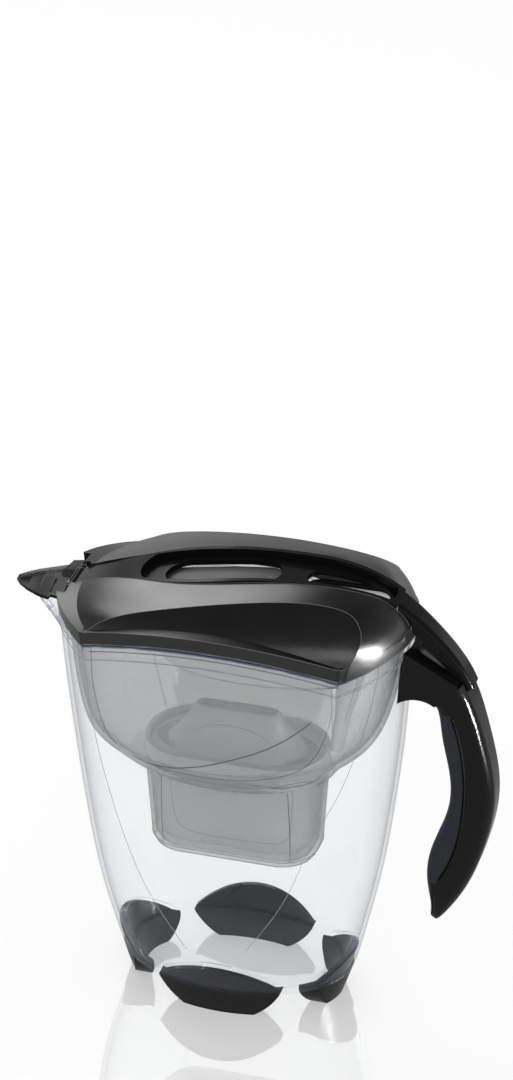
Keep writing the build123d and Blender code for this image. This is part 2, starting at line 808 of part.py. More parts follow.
def spine_side(thickness, first=0, last=None, drop=0.0):
    top, bottom = spine_lines(thickness, first, last, drop)
    upper = Edge.make_spline(top)
    lower = Edge.make_spline(list(reversed(bottom)))
    return Wire([upper, Edge.make_line(top[-1], bottom[-1]), lower, Edge.make_line(bottom[0], top[0])])


def spine_prism(shrink, first, last, low=190.0, high=310.0):
    plan = Solid.extrude(Face(spine_plan(shrink, first, last)), Vector(0, 0, high - low))
    return plan.moved(Location((0, 0, low)))


def spine_band(thickness, shrink=0.0, first=0, last=None, drop=0.0):
    side = Solid.extrude(Face(spine_side(thickness, first, last, drop)), Vector(0, 60, 0))
    return side.moved(Location((0, -30, 0))) & spine_prism(shrink, first, last)


def tail_wire(top, bottom, half):
    """A section across the tail, square below and rounded above."""
    up = (top - bottom).normalized()
    height = (top - bottom).length
    round_off = min(tail_round, 0.9 * half, 0.9 * height)
    mid_off = round_off * (1 - sqrt(0.5))

    def place(y, rise):
        return bottom + up * rise + Vector(0, y, 0)

    shoulder = height - round_off
    flat = half - round_off
    return Wire([
        Edge.make_line(place(half, 0), place(-half, 0)),
        Edge.make_line(place(-half, 0), place(-half, shoulder)),
        Edge.make_three_point_arc(place(-half, shoulder), place(-half + mid_off, height - mid_off),
                                  place(-flat, height)),
        Edge.make_line(place(-flat, height), place(flat, height)),
        Edge.make_three_point_arc(place(flat, height), place(half - mid_off, height - mid_off),
                                  place(half, shoulder)),
        Edge.make_line(place(half, shoulder), place(half, 0)),
    ])


def make_tail():
    """The spine runs on as a hollow tail, bent down over the handle's bracket."""
    halves = [half for x, half, z in spine_stations]
    top, bottom = spine_lines(tail_depth)
    low, below = spine_lines(tail_depth + 6, 0, None, tail_wall)
    rows = range(tail_start, len(spine_stations))
    outer = Solid.make_loft([tail_wire(top[i], bottom[i], halves[i]) for i in rows])
    inner = Solid.make_loft([tail_wire(low[i], below[i], halves[i] - tail_wall) for i in rows[1:]])
    tail = outer - inner
    return tail - block((60, -30, 200), (tail_end_x, 30, 300))


def long_hole(start, end, half, low=230.0, high=300.0):
    return stadium(low, end - start, 2 * half, high - low, (start + end) / 2)


def make_hood():
    """The domed cover with its skirt band, its inner lip and its open front over the spout."""
    seat = rim_gap + flange_thickness + rim_gap
    dome = shell_form(lid_form) - below_rim(seat)
    band = (shell_form(jug_form, -rim_proud - 0.2) & below_rim(seat + lid_band)) - below_rim(seat)
    hood = (dome + band) - shell_form(lid_form, lid_wall, -lid_wall)
    lip_reach = block((-90, -80, 200), (80, 80, 262))
    lip = ring_between(jug_form, lip_inset, lip_inset + lip_wall) & below_rim(seat + 5)
    lip = (lip - below_rim(seat - lip_depth)) & lip_reach
    ceiling = ring_between(jug_form, 1.0, lip_inset + lip_wall) & below_rim(seat + 5) & lip_reach
    ceiling = ceiling - below_rim(seat + 3)
    hood = hood + ((lip + ceiling) & shell_form(lid_form))
    hood = hood - block((-140, -mouth_half, 230), (mouth_x, mouth_half, 258))
    hood = hood - block((-140, -channel_half, 230), (channel_x, channel_half, 258))
    return hood - spine_prism(-0.05, 0, spine_last, 252.0, 292.0)


def make_spine():
    """The raised spine with its trough, the fill opening, the meter's slot, the tail and the lugs."""
    spine = spine_band(ridge_thickness, 0.0, 0, spine_last)
    spine = spine & block((spine_stations[0][0], -40, 240), (93, 40, 300))
    trough = spine_prism(ridge_wall, 2, spine_last) & long_hole(trough_start, trough_end, 25.0)
    spine = spine - (trough - spine_band(ridge_thickness + 6, -5.0, 0, spine_last, trough_depth))
    spine = spine - long_hole(fill_start, fill_end, fill_half_width)
    slot_end = case_length / 2 + fit_gap
    slot_half = case_width / 2 + fit_gap
    spine = spine - long_hole(meter_x - slot_end, meter_x + slot_end, slot_half)
    spine = spine + make_tail()
    collar = stadium(meter_frame_z + meter_frame_height + fit_gap, 2 * slot_end + 2 * collar_wall,
                     2 * slot_half + 2 * collar_wall, 8, meter_x)
    collar = collar - stadium(meter_frame_z, 2 * slot_end, 2 * slot_half, 30, meter_x)
    spine = spine + (collar & spine_band(ridge_thickness + 10, 0.0, 0, spine_last, 3.0))
    # The knuckle for the spout's cover stands in front, flush with the cover's top.
    spine = spine - y_cylinder(beak_hinge_x, beak_hinge_z, beak_knuckle + hinge_gap, -30, 30)
    knuckle = y_cylinder(beak_hinge_x, beak_hinge_z, beak_knuckle, -knuckle_half, knuckle_half)
    bridge = block((beak_hinge_x, -knuckle_half, beak_hinge_z - 1.5),
                   (beak_hinge_x + beak_knuckle + 1.5, knuckle_half, beak_hinge_z + beak_knuckle - 0.6))
    spine = spine + knuckle + bridge
    spine = spine - y_cylinder(beak_hinge_x, beak_hinge_z, pin_radius, -30, 30)
    hinge_z = flap_hinge_z()
    for side in (-1, 1):
        near = flap_barrel + hinge_gap
        low, high = sorted((side * near, side * (near + lug_width)))
        lug = y_cylinder(flap_hinge_x, hinge_z, knuckle_radius, low, high)
        lug = lug + block((flap_hinge_x - knuckle_radius, low, hinge_z),
                          (flap_hinge_x + knuckle_radius, high, under_spine(flap_hinge_x) + 1.5))
        spine = spine + lug
    return spine - y_cylinder(flap_hinge_x, hinge_z, pin_radius, -30, 30)


def make_lid():
    room_length = meter_frame_length + 2 * fit_gap
    room_width = meter_frame_width + 2 * fit_gap
    frame_room = stadium(meter_frame_z - 6, room_length, room_width,
                         meter_frame_height + 6 + fit_gap, meter_x)
    spine = make_spine() - frame_room
    return {"lid_hood": make_hood() - spine - frame_room, "lid_spine": spine}


def under_spine(x):
    """Height of the spine's underside at a place along it."""
    for before, after in zip(spine_stations, spine_stations[1:]):
        if before[0] <= x <= after[0]:
            part = (x - before[0]) / (after[0] - before[0])
            return before[2] + part * (after[2] - before[2]) - 1.02 * ridge_thickness
    raise ValueError(x)


def flap_hinge_z():
    return under_spine(flap_hinge_x) - hinge_gap - 0.4 - knuckle_radius


def make_fill_flap():
    """The flap closes the fill opening from below and turns down on a pin at its spout end."""
    hinge_z = flap_hinge_z()
    band = spine_band(flap_thickness, -5.0, 0, 9, ridge_thickness + hinge_gap)
    flap = band & long_hole(fill_start - 3.5, fill_end + 1.5, fill_half_width - 1.6)
    barrel_end = flap_barrel - 6.0
    flap = flap - block((flap_hinge_x - 6, -30, hinge_z - 5), (flap_hinge_x + 3.4, 30, hinge_z + 9))
    arm = block((flap_hinge_x, -flap_barrel + 2, hinge_z + 0.4),
                (flap_hinge_x + 8, barrel_end, hinge_z + 2.0))
    barrel = y_cylinder(flap_hinge_x, hinge_z, knuckle_radius, -flap_barrel, barrel_end)
    flap = flap + arm + barrel
    flap = flap - y_cylinder(flap_hinge_x, hinge_z, pin_radius + pin_clearance, -30, 30)
    reach = flap_barrel + hinge_gap + lug_width
    pin = y_cylinder(flap_hinge_x, hinge_z, pin_radius, -reach, reach)
    coil_start = barrel_end + hinge_gap
    pitch = (flap_barrel - barrel_end - spring_wire) / spring_turns
    coil_plane = Plane(origin=(flap_hinge_x, coil_start, hinge_z), z_dir=(0, 1, 0))
    radius = pin_radius + 0.35 + spring_wire / 2
    path = Edge.make_helix(pitch, pitch * spring_turns, radius).moved(Location(coil_plane))
    section = Plane(origin=path @ 0, z_dir=path % 0) * Circle(spring_wire / 2)
    spring = Solid.sweep(section.face(), path)
    return flap, pin, spring


def beak_wire(x, half, crest_half, low, top, lip):
    outline = [(-half, low), (-half, low + lip), (-crest_half, top), (crest_half, top), (half, low + lip),
               (half, low)]
    return Wire.make_polygon([Vector(x, y, z) for y, z in outline])


def make_beak():
    """A pointed cover over the spout, open below, that turns up on its pin."""
    outer = Solid.make_loft([beak_wire(*row, beak_lip) for row in beak_sections], ruled=True)
    room = [(x - (1.0 if i else -1.0), half - beak_wall, 0.6 * crest_half, low - 3, top - beak_wall)
            for i, (x, half, crest_half, low, top) in enumerate(beak_sections[:-1])]
    inner = Solid.make_loft([beak_wire(*row, beak_lip + 2.2) for row in room], ruled=True)
    cover = outer - inner
    reach = knuckle_half + hinge_gap + knuckle_length
    barrel = y_cylinder(beak_hinge_x, beak_hinge_z, beak_knuckle, -reach, reach)
    side_gap = y_cylinder(beak_hinge_x, beak_hinge_z, beak_knuckle + hinge_gap, -40, 40)
    far_parts = block((beak_tip, -40, 230), (beak_hinge_x - 1.9, 40, 270))
    near_parts = block((beak_tip, -reach, 230), (beak_hinge_x, reach, 270))
    cover = (cover & far_parts) + (cover & near_parts) + barrel
    inner_end = knuckle_half + hinge_gap
    middle = block((beak_hinge_x - 6, -inner_end, 240), (beak_hinge_x + 6, inner_end, 270))
    cover = cover - (side_gap & middle)
    cover = cover - y_cylinder(beak_hinge_x, beak_hinge_z, pin_radius + pin_clearance, -30, 30)
    pin = y_cylinder(beak_hinge_x, beak_hinge_z, pin_radius, -reach, reach)
    return cover, pin


def grip_section(outer, inner, half):
    """A soft-cornered section between the outer and the inner point of the handle."""
    middle = Vector((outer[0] + inner[0]) / 2, 0, (outer[1] + inner[1]) / 2)
    across = Vector(outer[0] - inner[0], 0, outer[1] - inner[1])
    plane = Plane(origin=middle, x_dir=across, z_dir=across.cross(Vector(0, 1, 0)))
    radius = section_round * min(across.length / 2, half)
    return (plane * RectangleRounded(across.length, 2 * half, radius)).wire()


def make_handle(jug_outer):
    """The grip with its bracket, and the soft inlay that is let into its inner side."""
    grip = Solid.make_loft([grip_section(*section) for section in handle_sections])
    bracket = side_prism(bracket_corners, bracket_root_half, bracket_arch)
    root_x = bracket_corners[-2][0]
    plan = [(root_x, -bracket_root_half), (bracket_taper_x, -bracket_root_half),
            (bracket_end_x, -bracket_end_half), (bracket_end_x, bracket_end_half),
            (bracket_taper_x, bracket_root_half), (root_x, bracket_root_half)]
    outline = Wire.make_polygon([Vector(x, y, 200) for x, y in plan])
    handle = grip + (bracket & Solid.extrude(Face(outline), Vector(0, 0, 60)))
    inlay_room = side_prism(inlay_corners, 30.0, inlay_arch)
    return handle - jug_outer - inlay_room, grip & inlay_room


def make_locator():
    """The raised capsule on the bracket and the round pad behind it, under the lid's tail."""
    low, high = bracket_corners[2], bracket_corners[4]
    slope = Vector(low[0] - high[0], 0, low[1] - high[1]).normalized()
    normal = Vector(-slope.Z, 0, slope.X)
    start = Vector(locator_start[0], 0, locator_start[1]) - normal * locator_sink
    rod = Solid.make_cylinder(locator_radius, locator_length, plane=Plane(origin=start, z_dir=slope))
    cap = Solid.make_sphere(locator_radius, plane=Plane(origin=start))
    end = start + slope * locator_length
    pad = Solid.make_cylinder(locator_radius, pad_length, plane=Plane(origin=end, z_dir=slope))
    return rod + cap, pad


def tail_room():
    """The space that the lid's tail needs at the top of the handle."""
    room = spine_band(tail_depth + tail_gap, -tail_gap, tail_start, None, -tail_gap)
    return room + room.moved(Location((tail_gap, 0, -tail_gap)))


def build_parts():
    feet, pockets = make_feet()
    jug = make_jug(pockets)
    parts = {"jug_body": jug}
    parts.update(feet)
    rim_shell = (shell_form(jug_form, -rim_proud) & below_rim(0.0)) - below_rim(-rim_band)
    jug_outer = (shell_form(jug_form) & below_rim(0.0)) + rim_shell
    handle, inlay = make_handle(jug_outer)
    capsule, pad = make_locator()
    parts["handle_shell"] = (handle - tail_room()) - capsule - pad
    parts["handle_grip"] = inlay
    parts["handle_locator"] = capsule
    parts["handle_pad"] = pad
    parts["funnel"] = make_funnel()
    parts.update(make_cartridge())
    parts.update(make_meter())
    parts.update(make_lid())
    parts["fill_flap"], parts["flap_pin"], parts["flap_spring"] = make_fill_flap()
    parts["beak_cover"], parts["beak_pin"] = make_beak()
    return parts


def main():
    os.makedirs("parts", exist_ok=True)
    for name, shape in build_parts().items():
        placed = shape.moved(Location((shift_x, 0, 0)))
        export_step(placed, os.path.join("parts", name + ".step"))


if __name__ == "__main__":
    main()
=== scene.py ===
from math import cos, pi, radians, sin

import bmesh
import bpy
from bpy.props import FloatProperty, FloatVectorProperty, PointerProperty
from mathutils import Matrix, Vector
from mathutils.bvhtree import BVHTree


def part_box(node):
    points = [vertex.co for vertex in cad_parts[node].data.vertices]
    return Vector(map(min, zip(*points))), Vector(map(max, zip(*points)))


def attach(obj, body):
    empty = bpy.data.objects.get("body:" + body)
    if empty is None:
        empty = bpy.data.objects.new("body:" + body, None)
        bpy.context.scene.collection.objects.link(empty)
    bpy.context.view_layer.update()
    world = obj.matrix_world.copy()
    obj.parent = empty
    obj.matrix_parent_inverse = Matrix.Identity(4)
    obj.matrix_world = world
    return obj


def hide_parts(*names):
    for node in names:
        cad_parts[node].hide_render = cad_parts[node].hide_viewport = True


bl_info = {
    "name": "Water Filter Pitcher",
    "version": (1, 0, 0),
    "blender": (4, 5, 0),
    "location": "View3D > Sidebar > Pitcher",
    "description": "Dresses the packed water filter pitcher: its clear jug, smoke funnel, cartridge, "
                   "meter and lid",
    "category": "Object",
}

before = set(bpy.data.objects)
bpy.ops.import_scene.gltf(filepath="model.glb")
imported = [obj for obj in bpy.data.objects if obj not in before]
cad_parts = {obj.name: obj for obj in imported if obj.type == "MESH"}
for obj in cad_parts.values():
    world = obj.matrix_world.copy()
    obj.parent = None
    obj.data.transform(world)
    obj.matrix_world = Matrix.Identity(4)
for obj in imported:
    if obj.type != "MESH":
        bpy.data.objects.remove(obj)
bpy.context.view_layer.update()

# Sizes are in millimetres in the pitcher's own frame, whose X runs from the spout to the handle
# and whose origin is under the middle of the jug's mouth.
MM = 0.001
AXIS_X = -8.75

# Lines that are drawn on a surface: the points that each passes, before it is laid on the surface.
funnel_lines = [
    [(-38.7, -50.5, 169.0), (-24.9, -51.7, 169.6), (-7.4, -52.8, 174.4), (9.8, -53.5, 181.6),
     (26.7, -53.5, 190.0), (39.0, -53.0, 198.0), (49.0, -52.5, 206.5), (56.0, -51.6, 213.5)],
]
chamber_lines = [
    [(x, side * 30.0, 148.0), (x, side * 25.5, 122.0), (x, side * 24.5, 99.5)]
    for x in (-41.0, 36.4) for side in (-1, 1)
]
groove_lines = [
    [(125.8, side * 16.0, 206.0), (131.0, side * 16.0, 188.0), (133.8, side * 16.0, 169.0),
     (134.3, side * 16.0, 150.0), (132.4, side * 16.0, 130.0), (128.0, side * 15.0, 111.0),
     (121.0, side * 14.0, 95.0)]
    for side in (-1, 1)
]
cup_lines = [
    [(-35.7, side * 25.5, 149.0), (-35.0, side * 25.0, 130.0), (-31.7, side * 24.5, 115.0),
     (-22.0, side * 24.0, 109.0), (6.0, side * 24.0, 108.4), (30.0, side * 24.0, 110.5),
     (37.5, side * 24.5, 119.0), (38.6, side * 25.0, 134.0), (39.0, side * 25.5, 149.0)]
    for side in (-1, 1)
]
dome_lines = [
    [(-24.0, side * 12.4, 172.0), (-16.0, side * 13.1, 176.4), (-4.0, side * 13.6, 178.0),
     (8.0, side * 13.5, 176.8), (17.0, side * 12.8, 172.8), (22.0, side * 12.1, 168.6)]
    for side in (-1, 1)
]
probe_lines = [[(76.0, -6.0, 238.0), (71.8, -6.0, 222.9), (67.8, -6.0, 205.4), (63.3, -6.0, 187.9)]]
# Along the funnel's rim, this far below it: the fold on its outside.
rim_fold = 6.0
trough_mark = [[(14.5, -6.5, 276.0), (18.5, -3.0, 276.4), (15.5, 1.5, 276.2)]]
hook_line = [[(-96.9, 26.2, 246.0), (-96.0, 27.8, 240.0), (-95.4, 29.4, 238.6), (-95.0, 30.3, 242.6)]]

# The jug's waved rim: its height at the four corners, and how far it rises between them along the
# sides and over the ends. The sides' middle and reach are along the pitcher, the ends' is across it.
rim_corner = 241.5
side_rise = 10.5
end_rise = 6.5
side_middle = -2.5
side_reach = 73.5
end_reach = 54.5
# The funnel's rim: its height at the corners, the reach of its sides, and the ellipse round its
# handle end, by its two radii and how far it turns each way in degrees.
funnel_corner = 241.8
funnel_side_reach = 73.0
funnel_end_radii = (94.6, 73.2)
funnel_end_turn = 47.0
# A box inside the funnel's chamber, by two corners, whose edges get no bead.
chamber_inside = ((-48, -12, 90), (44, 12, 140))

# The tone painted on each of the funnel's faces, by where it is and which way it faces: painted shade and
# light, from 0, the lighter tint, to 1, the full smoke tint.
panel_painted_shade = 1.0
chamber_painted_shade = 0.9
bottom_painted_shade = 0.5
end_painted_shade = 0.2
chamber_top = 150 * MM
# A face counts as the bottom's where its normal is upright by more than level_share, and as a side
# panel's where its normal points across the pitcher over panel_share times as much as along it.
level_share = 0.93
panel_share = 2.2


class PitcherColours(bpy.types.PropertyGroup):
    gloss_black: FloatVectorProperty(
        name="Gloss black", description="Colour of the lid and the handle", subtype="COLOR",
        default=(0.0045, 0.0046, 0.005), size=3, min=0, max=1)
    foot_black: FloatVectorProperty(
        name="Foot black", description="Colour of the four feet", subtype="COLOR",
        default=(0.009, 0.0092, 0.010), size=3, min=0, max=1)
    grip_grey: FloatVectorProperty(
        name="Grip grey", description="Colour of the soft grip", subtype="COLOR",
        default=(0.016, 0.018, 0.024), size=3, min=0, max=1)
    white: FloatVectorProperty(
        name="Cartridge white", description="Colour of the cartridge and the probe", subtype="COLOR",
        default=(0.905, 0.915, 0.925), size=3, min=0, max=1)
    meter_grey: FloatVectorProperty(
        name="Meter grey", description="Colour of the meter's case", subtype="COLOR",
        default=(0.62, 0.625, 0.635), size=3, min=0, max=1)
    screen: FloatVectorProperty(
        name="Screen", description="Colour of the meter's display", subtype="COLOR",
        default=(0.14, 0.19, 0.175), size=3, min=0, max=1)
    jug_tint: FloatVectorProperty(
        name="Jug tint", description="What one face of the jug's wall lets through", subtype="COLOR",
        default=(0.992, 0.995, 0.998), size=3, min=0, max=1)
    smoke_tint: FloatVectorProperty(
        name="Smoke tint", description="What one face of the funnel's panels lets through", subtype="COLOR",
        default=(0.936, 0.939, 0.937), size=3, min=0, max=1)
    # A lighter tint for the funnel's ends: painted light on the same smoke plastic as the panels.
    smoke_painted_lighter: FloatVectorProperty(
        name="Smoke tint painted lighter", description="What one face of the funnel's ends lets through",
        subtype="COLOR", default=(0.96, 0.962, 0.962), size=3, min=0, max=1)


class PitcherView(bpy.types.PropertyGroup):
    azimuth: FloatProperty(
        name="Azimuth", description="The camera's turn about the pitcher",
        default=radians(16.47), subtype="ANGLE", unit="ROTATION")
    elevation: FloatProperty(
        name="Elevation", description="The camera's height above the horizon",
        default=radians(28.57), subtype="ANGLE", unit="ROTATION")
    distance: FloatProperty(
        name="Distance", description="From the camera to its target",
        default=1.9953, subtype="DISTANCE", unit="LENGTH")
    target_height: FloatProperty(
        name="Target height", description="Height of the camera's target",
        default=0.29395, subtype="DISTANCE", unit="LENGTH")
    lens: FloatProperty(
        name="Lens", description="Focal length for a 36 mm frame height",
        default=119.55, min=10, max=300)


def at(x, y, z):
    """A place in the pitcher's own millimetres, as the scene's metres."""
    return Vector((x + AXIS_X, y, z)) * MM


class Recipe:
    """A Geometry Nodes tree, built one node at a time, that works on one piece and is then applied."""

    def __init__(self, name):
        self.tree = bpy.data.node_groups.new(name, "GeometryNodeTree")
        self.tree.is_modifier = True
        self.sizes = {}
        for way in ("INPUT", "OUTPUT"):
            self.tree.interface.new_socket("Geometry", in_out=way, socket_type="NodeSocketGeometry")
        self.source = self.tree.nodes.new("NodeGroupInput")
        self.sink = self.tree.nodes.new("NodeGroupOutput")

    def size(self, label, kind, default=None):
        """A named input that the piece's modifier sets."""
        item = self.tree.interface.new_socket(label, in_out="INPUT", socket_type="NodeSocket" + kind)
        if default is not None:
            item.default_value = default
        self.sizes[label] = item.identifier
        return self.source.outputs[label]

    def add(self, kind, settings=None, inputs=None):
        node = self.tree.nodes.new(kind)
        for key, value in (settings or {}).items():
            setattr(node, key, value)
        for key, value in (inputs or {}).items():
            if isinstance(value, bpy.types.Node):
                value = value.outputs[0]
            if isinstance(value, bpy.types.NodeSocket):
                self.tree.links.new(value, node.inputs[key])
            else:
                node.inputs[key].default_value = value
        return node

    def round_bar(self, curve, radius, sides=6):
        """A round bar along a curve."""
        ring = self.add("GeometryNodeCurvePrimitiveCircle", None, {"Resolution": sides, "Radius": radius})
        return self.add("GeometryNodeCurveToMesh", None,
                        {"Curve": curve, "Profile Curve": ring, "Fill Caps": True})

    def close(self, geometry, finish, soft=True):
        """The last nodes: real geometry, its shading and its material."""
        real = self.add("GeometryNodeRealizeInstances", None, {"Geometry": geometry})
        shaded = self.add("GeometryNodeSetShadeSmooth", None, {"Geometry": real, "Shade Smooth": soft})
        dressed = self.add("GeometryNodeSetMaterial", None, {"Geometry": shaded, "Material": finish})
        self.tree.links.new(dressed.outputs[0], self.sink.inputs[0])

    def apply(self, piece, **values):
        modifier = piece.modifiers.new(self.tree.name, "NODES")
        modifier.node_group = self.tree
        for label, value in values.items():
            modifier[self.sizes[label.replace("_", " ")]] = value
        return settled(piece)


recipes = {}


def edge_bead_recipe():
    """A thin bead along every outward edge that is sharper than an angle and above a level."""
    recipe = Recipe("edge_beads")
    angle = recipe.size("Angle", "Float", radians(30))
    low = recipe.size("Low", "Float", 0.0)
    radius = recipe.size("Radius", "Float", 0.3 * MM)
    finish = recipe.size("Finish", "Material")
    bend = recipe.add("GeometryNodeInputMeshEdgeAngle")
    sharp = recipe.add("FunctionNodeCompare", {"data_type": "FLOAT", "operation": "GREATER_THAN"},
                       {0: bend.outputs["Signed Angle"], 1: angle})
    place = recipe.add("ShaderNodeSeparateXYZ", None, {0: recipe.add("GeometryNodeInputPosition")})
    high = recipe.add("FunctionNodeCompare", {"data_type": "FLOAT", "operation": "GREATER_THAN"},
                      {0: place.outputs["Z"], 1: low})
    both = recipe.add("FunctionNodeBooleanMath", {"operation": "AND"}, {0: sharp, 1: high})
    curves = recipe.add("GeometryNodeMeshToCurve", None,
                        {"Mesh": recipe.source.outputs["Geometry"], "Selection": both})
    recipe.close(recipe.round_bar(curves, radius), finish)
    return recipe


def laid_line_recipe():
    """Round lines that pass smoothly through given points and lie on a surface."""
    recipe = Recipe("laid_lines")
    surface = recipe.size("Surface", "Object")
    radius = recipe.size("Radius", "Float", 0.3 * MM)
    step = recipe.size("Step", "Float", 1.2 * MM)
    finish = recipe.size("Finish", "Material")
    curves = recipe.add("GeometryNodeMeshToCurve", None, {"Mesh": recipe.source.outputs["Geometry"]})
    bent = recipe.add("GeometryNodeCurveSplineType", {"spline_type": "CATMULL_ROM"}, {"Curve": curves})
    fine = recipe.add("GeometryNodeResampleCurve", {"mode": "LENGTH"}, {"Curve": bent, "Length": step})
    ground = recipe.add("GeometryNodeObjectInfo", {"transform_space": "ORIGINAL"}, {"Object": surface})
    near = recipe.add("GeometryNodeProximity", {"target_element": "FACES"},
                      {0: ground.outputs["Geometry"]})
    laid = recipe.add("GeometryNodeSetPosition", None,
                      {"Geometry": fine, "Position": near.outputs["Position"]})
    recipe.close(recipe.round_bar(laid, radius), finish)
    return recipe


def flat_bar_recipe():
    """Flat bars along level edges, as the lit segments of a display are."""
    recipe = Recipe("flat_bars")
    width = recipe.size("Width", "Float", 0.6 * MM)
    height = recipe.size("Height", "Float", 0.1 * MM)
    finish = recipe.size("Finish", "Material")
    curves = recipe.add("GeometryNodeMeshToCurve", None, {"Mesh": recipe.source.outputs["Geometry"]})
    upright = recipe.add("GeometryNodeSetCurveNormal", {"mode": "Z_UP"}, {"Curve": curves})
    profile = recipe.add("GeometryNodeCurvePrimitiveQuadrilateral", None,
                         {"Width": width, "Height": height})
    bars = recipe.add("GeometryNodeCurveToMesh", None,
                      {"Curve": upright, "Profile Curve": profile, "Fill Caps": True})
    recipe.close(bars, finish, False)
    return recipe


def strand_recipe():
    """Round strands along edges, as in woven mesh."""
    recipe = Recipe("strands")
    radius = recipe.size("Radius", "Float", 0.2 * MM)
    finish = recipe.size("Finish", "Material")
    curves = recipe.add("GeometryNodeMeshToCurve", None, {"Mesh": recipe.source.outputs["Geometry"]})
    recipe.close(recipe.round_bar(curves, radius, 5), finish)
    return recipe


def coil_recipe():
    """A coil of round wire about the local Z axis, turned to lie along Y at its place."""
    recipe = Recipe("coil")
    radius = recipe.size("Radius", "Float", 1.6 * MM)
    length = recipe.size("Length", "Float", 5.0 * MM)
    turns = recipe.size("Turns", "Float", 4.0)
    wire = recipe.size("Wire", "Float", 0.3 * MM)
    place = recipe.size("Place", "Vector")
    finish = recipe.size("Finish", "Material")
    spiral = recipe.add("GeometryNodeCurveSpiral", None, {
        "Resolution": 24, "Rotations": turns, "Start Radius": radius, "End Radius": radius,
        "Height": length})
    bars = recipe.round_bar(spiral, wire, 8)
    turned = recipe.add("GeometryNodeTransform", None,
                        {"Geometry": bars, "Translation": place, "Rotation": (radians(-90), 0, 0)})
    recipe.close(turned, finish)
    return recipe


def make_recipes():
    recipes.update({
        "edge_beads": edge_bead_recipe(),
        "laid_lines": laid_line_recipe(),
        "flat_bars": flat_bar_recipe(),
        "strands": strand_recipe(),
        "coil": coil_recipe(),
    })


class Shader:
    """A material's node tree, built one node at a time."""

    def __init__(self, name):
        self.material = bpy.data.materials.new(name)
        self.material.use_nodes = True
        self.tree = self.material.node_tree
        self.tree.nodes.clear()
        self.output = self.tree.nodes.new("ShaderNodeOutputMaterial")

    def add(self, kind, settings=None, **inputs):
        node = self.tree.nodes.new("ShaderNode" + kind)
        for key, value in (settings or {}).items():
            setattr(node, key, value)
        for key, value in inputs.items():
            self.put(node, key.replace("_", " "), value)
        return node

    def put(self, node, key, value):
        socket = node.inputs[int(key) if key.isdigit() else key]
        if isinstance(value, bpy.types.NodeSocket):
            self.tree.links.new(value, socket)
        elif isinstance(value, bpy.types.Node):
            self.tree.links.new(value.outputs[0], socket)
        else:
            if hasattr(value, "__len__") and len(value) == 3 and socket.type == "RGBA":
                value = (*value, 1.0)
            socket.default_value = value

    def math(self, operation, first, second=0.5):
        node = self.add("Math", {"operation": operation})
        self.put(node, "0", first)
        self.put(node, "1", second)
        return node

    def spread(self, value, low, high, to_low, to_high):
        node = self.add("MapRange", {"clamp": True})
        for key, setting in zip(("Value", "From Min", "From Max", "To Min", "To Max"),
                                (value, low, high, to_low, to_high)):
            self.put(node, key, setting)
        return node

    def place(self, scale=(1, 1, 1)):
        """Object coordinates, scaled."""
        source = self.add("TexCoord")
        mapping = self.add("Mapping")
        self.put(mapping, "Vector", source.outputs["Object"])
        self.put(mapping, "Scale", scale)
        return mapping

    def noise(self, size, detail=3.0, scale=(1, 1, 1)):
        """Noise whose features are about this many metres wide."""
        node = self.add("TexNoise")
        self.put(node, "Vector", self.place(scale))
        self.put(node, "Scale", 1.0 / size)
        self.put(node, "Detail", detail)
        return node

    def bump(self, height, strength, distance):
        node = self.add("Bump")
        self.put(node, "Height", height)
        self.put(node, "Strength", strength)
        self.put(node, "Distance", distance)
        return node

    def finish(self, surface):
        self.tree.links.new(surface.outputs[0], self.output.inputs["Surface"])
        return self.material


def moulded(name, colour, roughness, rough_spread=0.05, grain=0.0006, grain_depth=0.00002,
            level=0.5):
    """Opaque moulded plastic: a fine grain, a slow waviness and patches of more and less shine."""
    shader = Shader(name)
    patches = shader.noise(0.02, detail=4.0)
    rough = shader.spread(patches.outputs["Fac"], 0.3, 0.7,
                          roughness - rough_spread, roughness + rough_spread)
    skin = shader.noise(grain, detail=2.0)
    bump = shader.bump(skin.outputs["Fac"], 0.5, grain_depth)
    shade = shader.noise(0.035, detail=2.0)
    tone = shader.add("MixRGB")
    shader.put(tone, "Fac", shader.spread(shade.outputs["Fac"], 0.35, 0.65, 0.0, 1.0))
    shader.put(tone, "Color1", [c * 0.94 for c in colour])
    shader.put(tone, "Color2", [min(c * 1.05, 1.0) for c in colour])
    body = shader.add("BsdfPrincipled")
    shader.put(body, "Base Color", tone)
    shader.put(body, "Roughness", rough)
    shader.put(body, "Specular IOR Level", level)
    shader.put(body, "Normal", bump)
    return shader.finish(body)


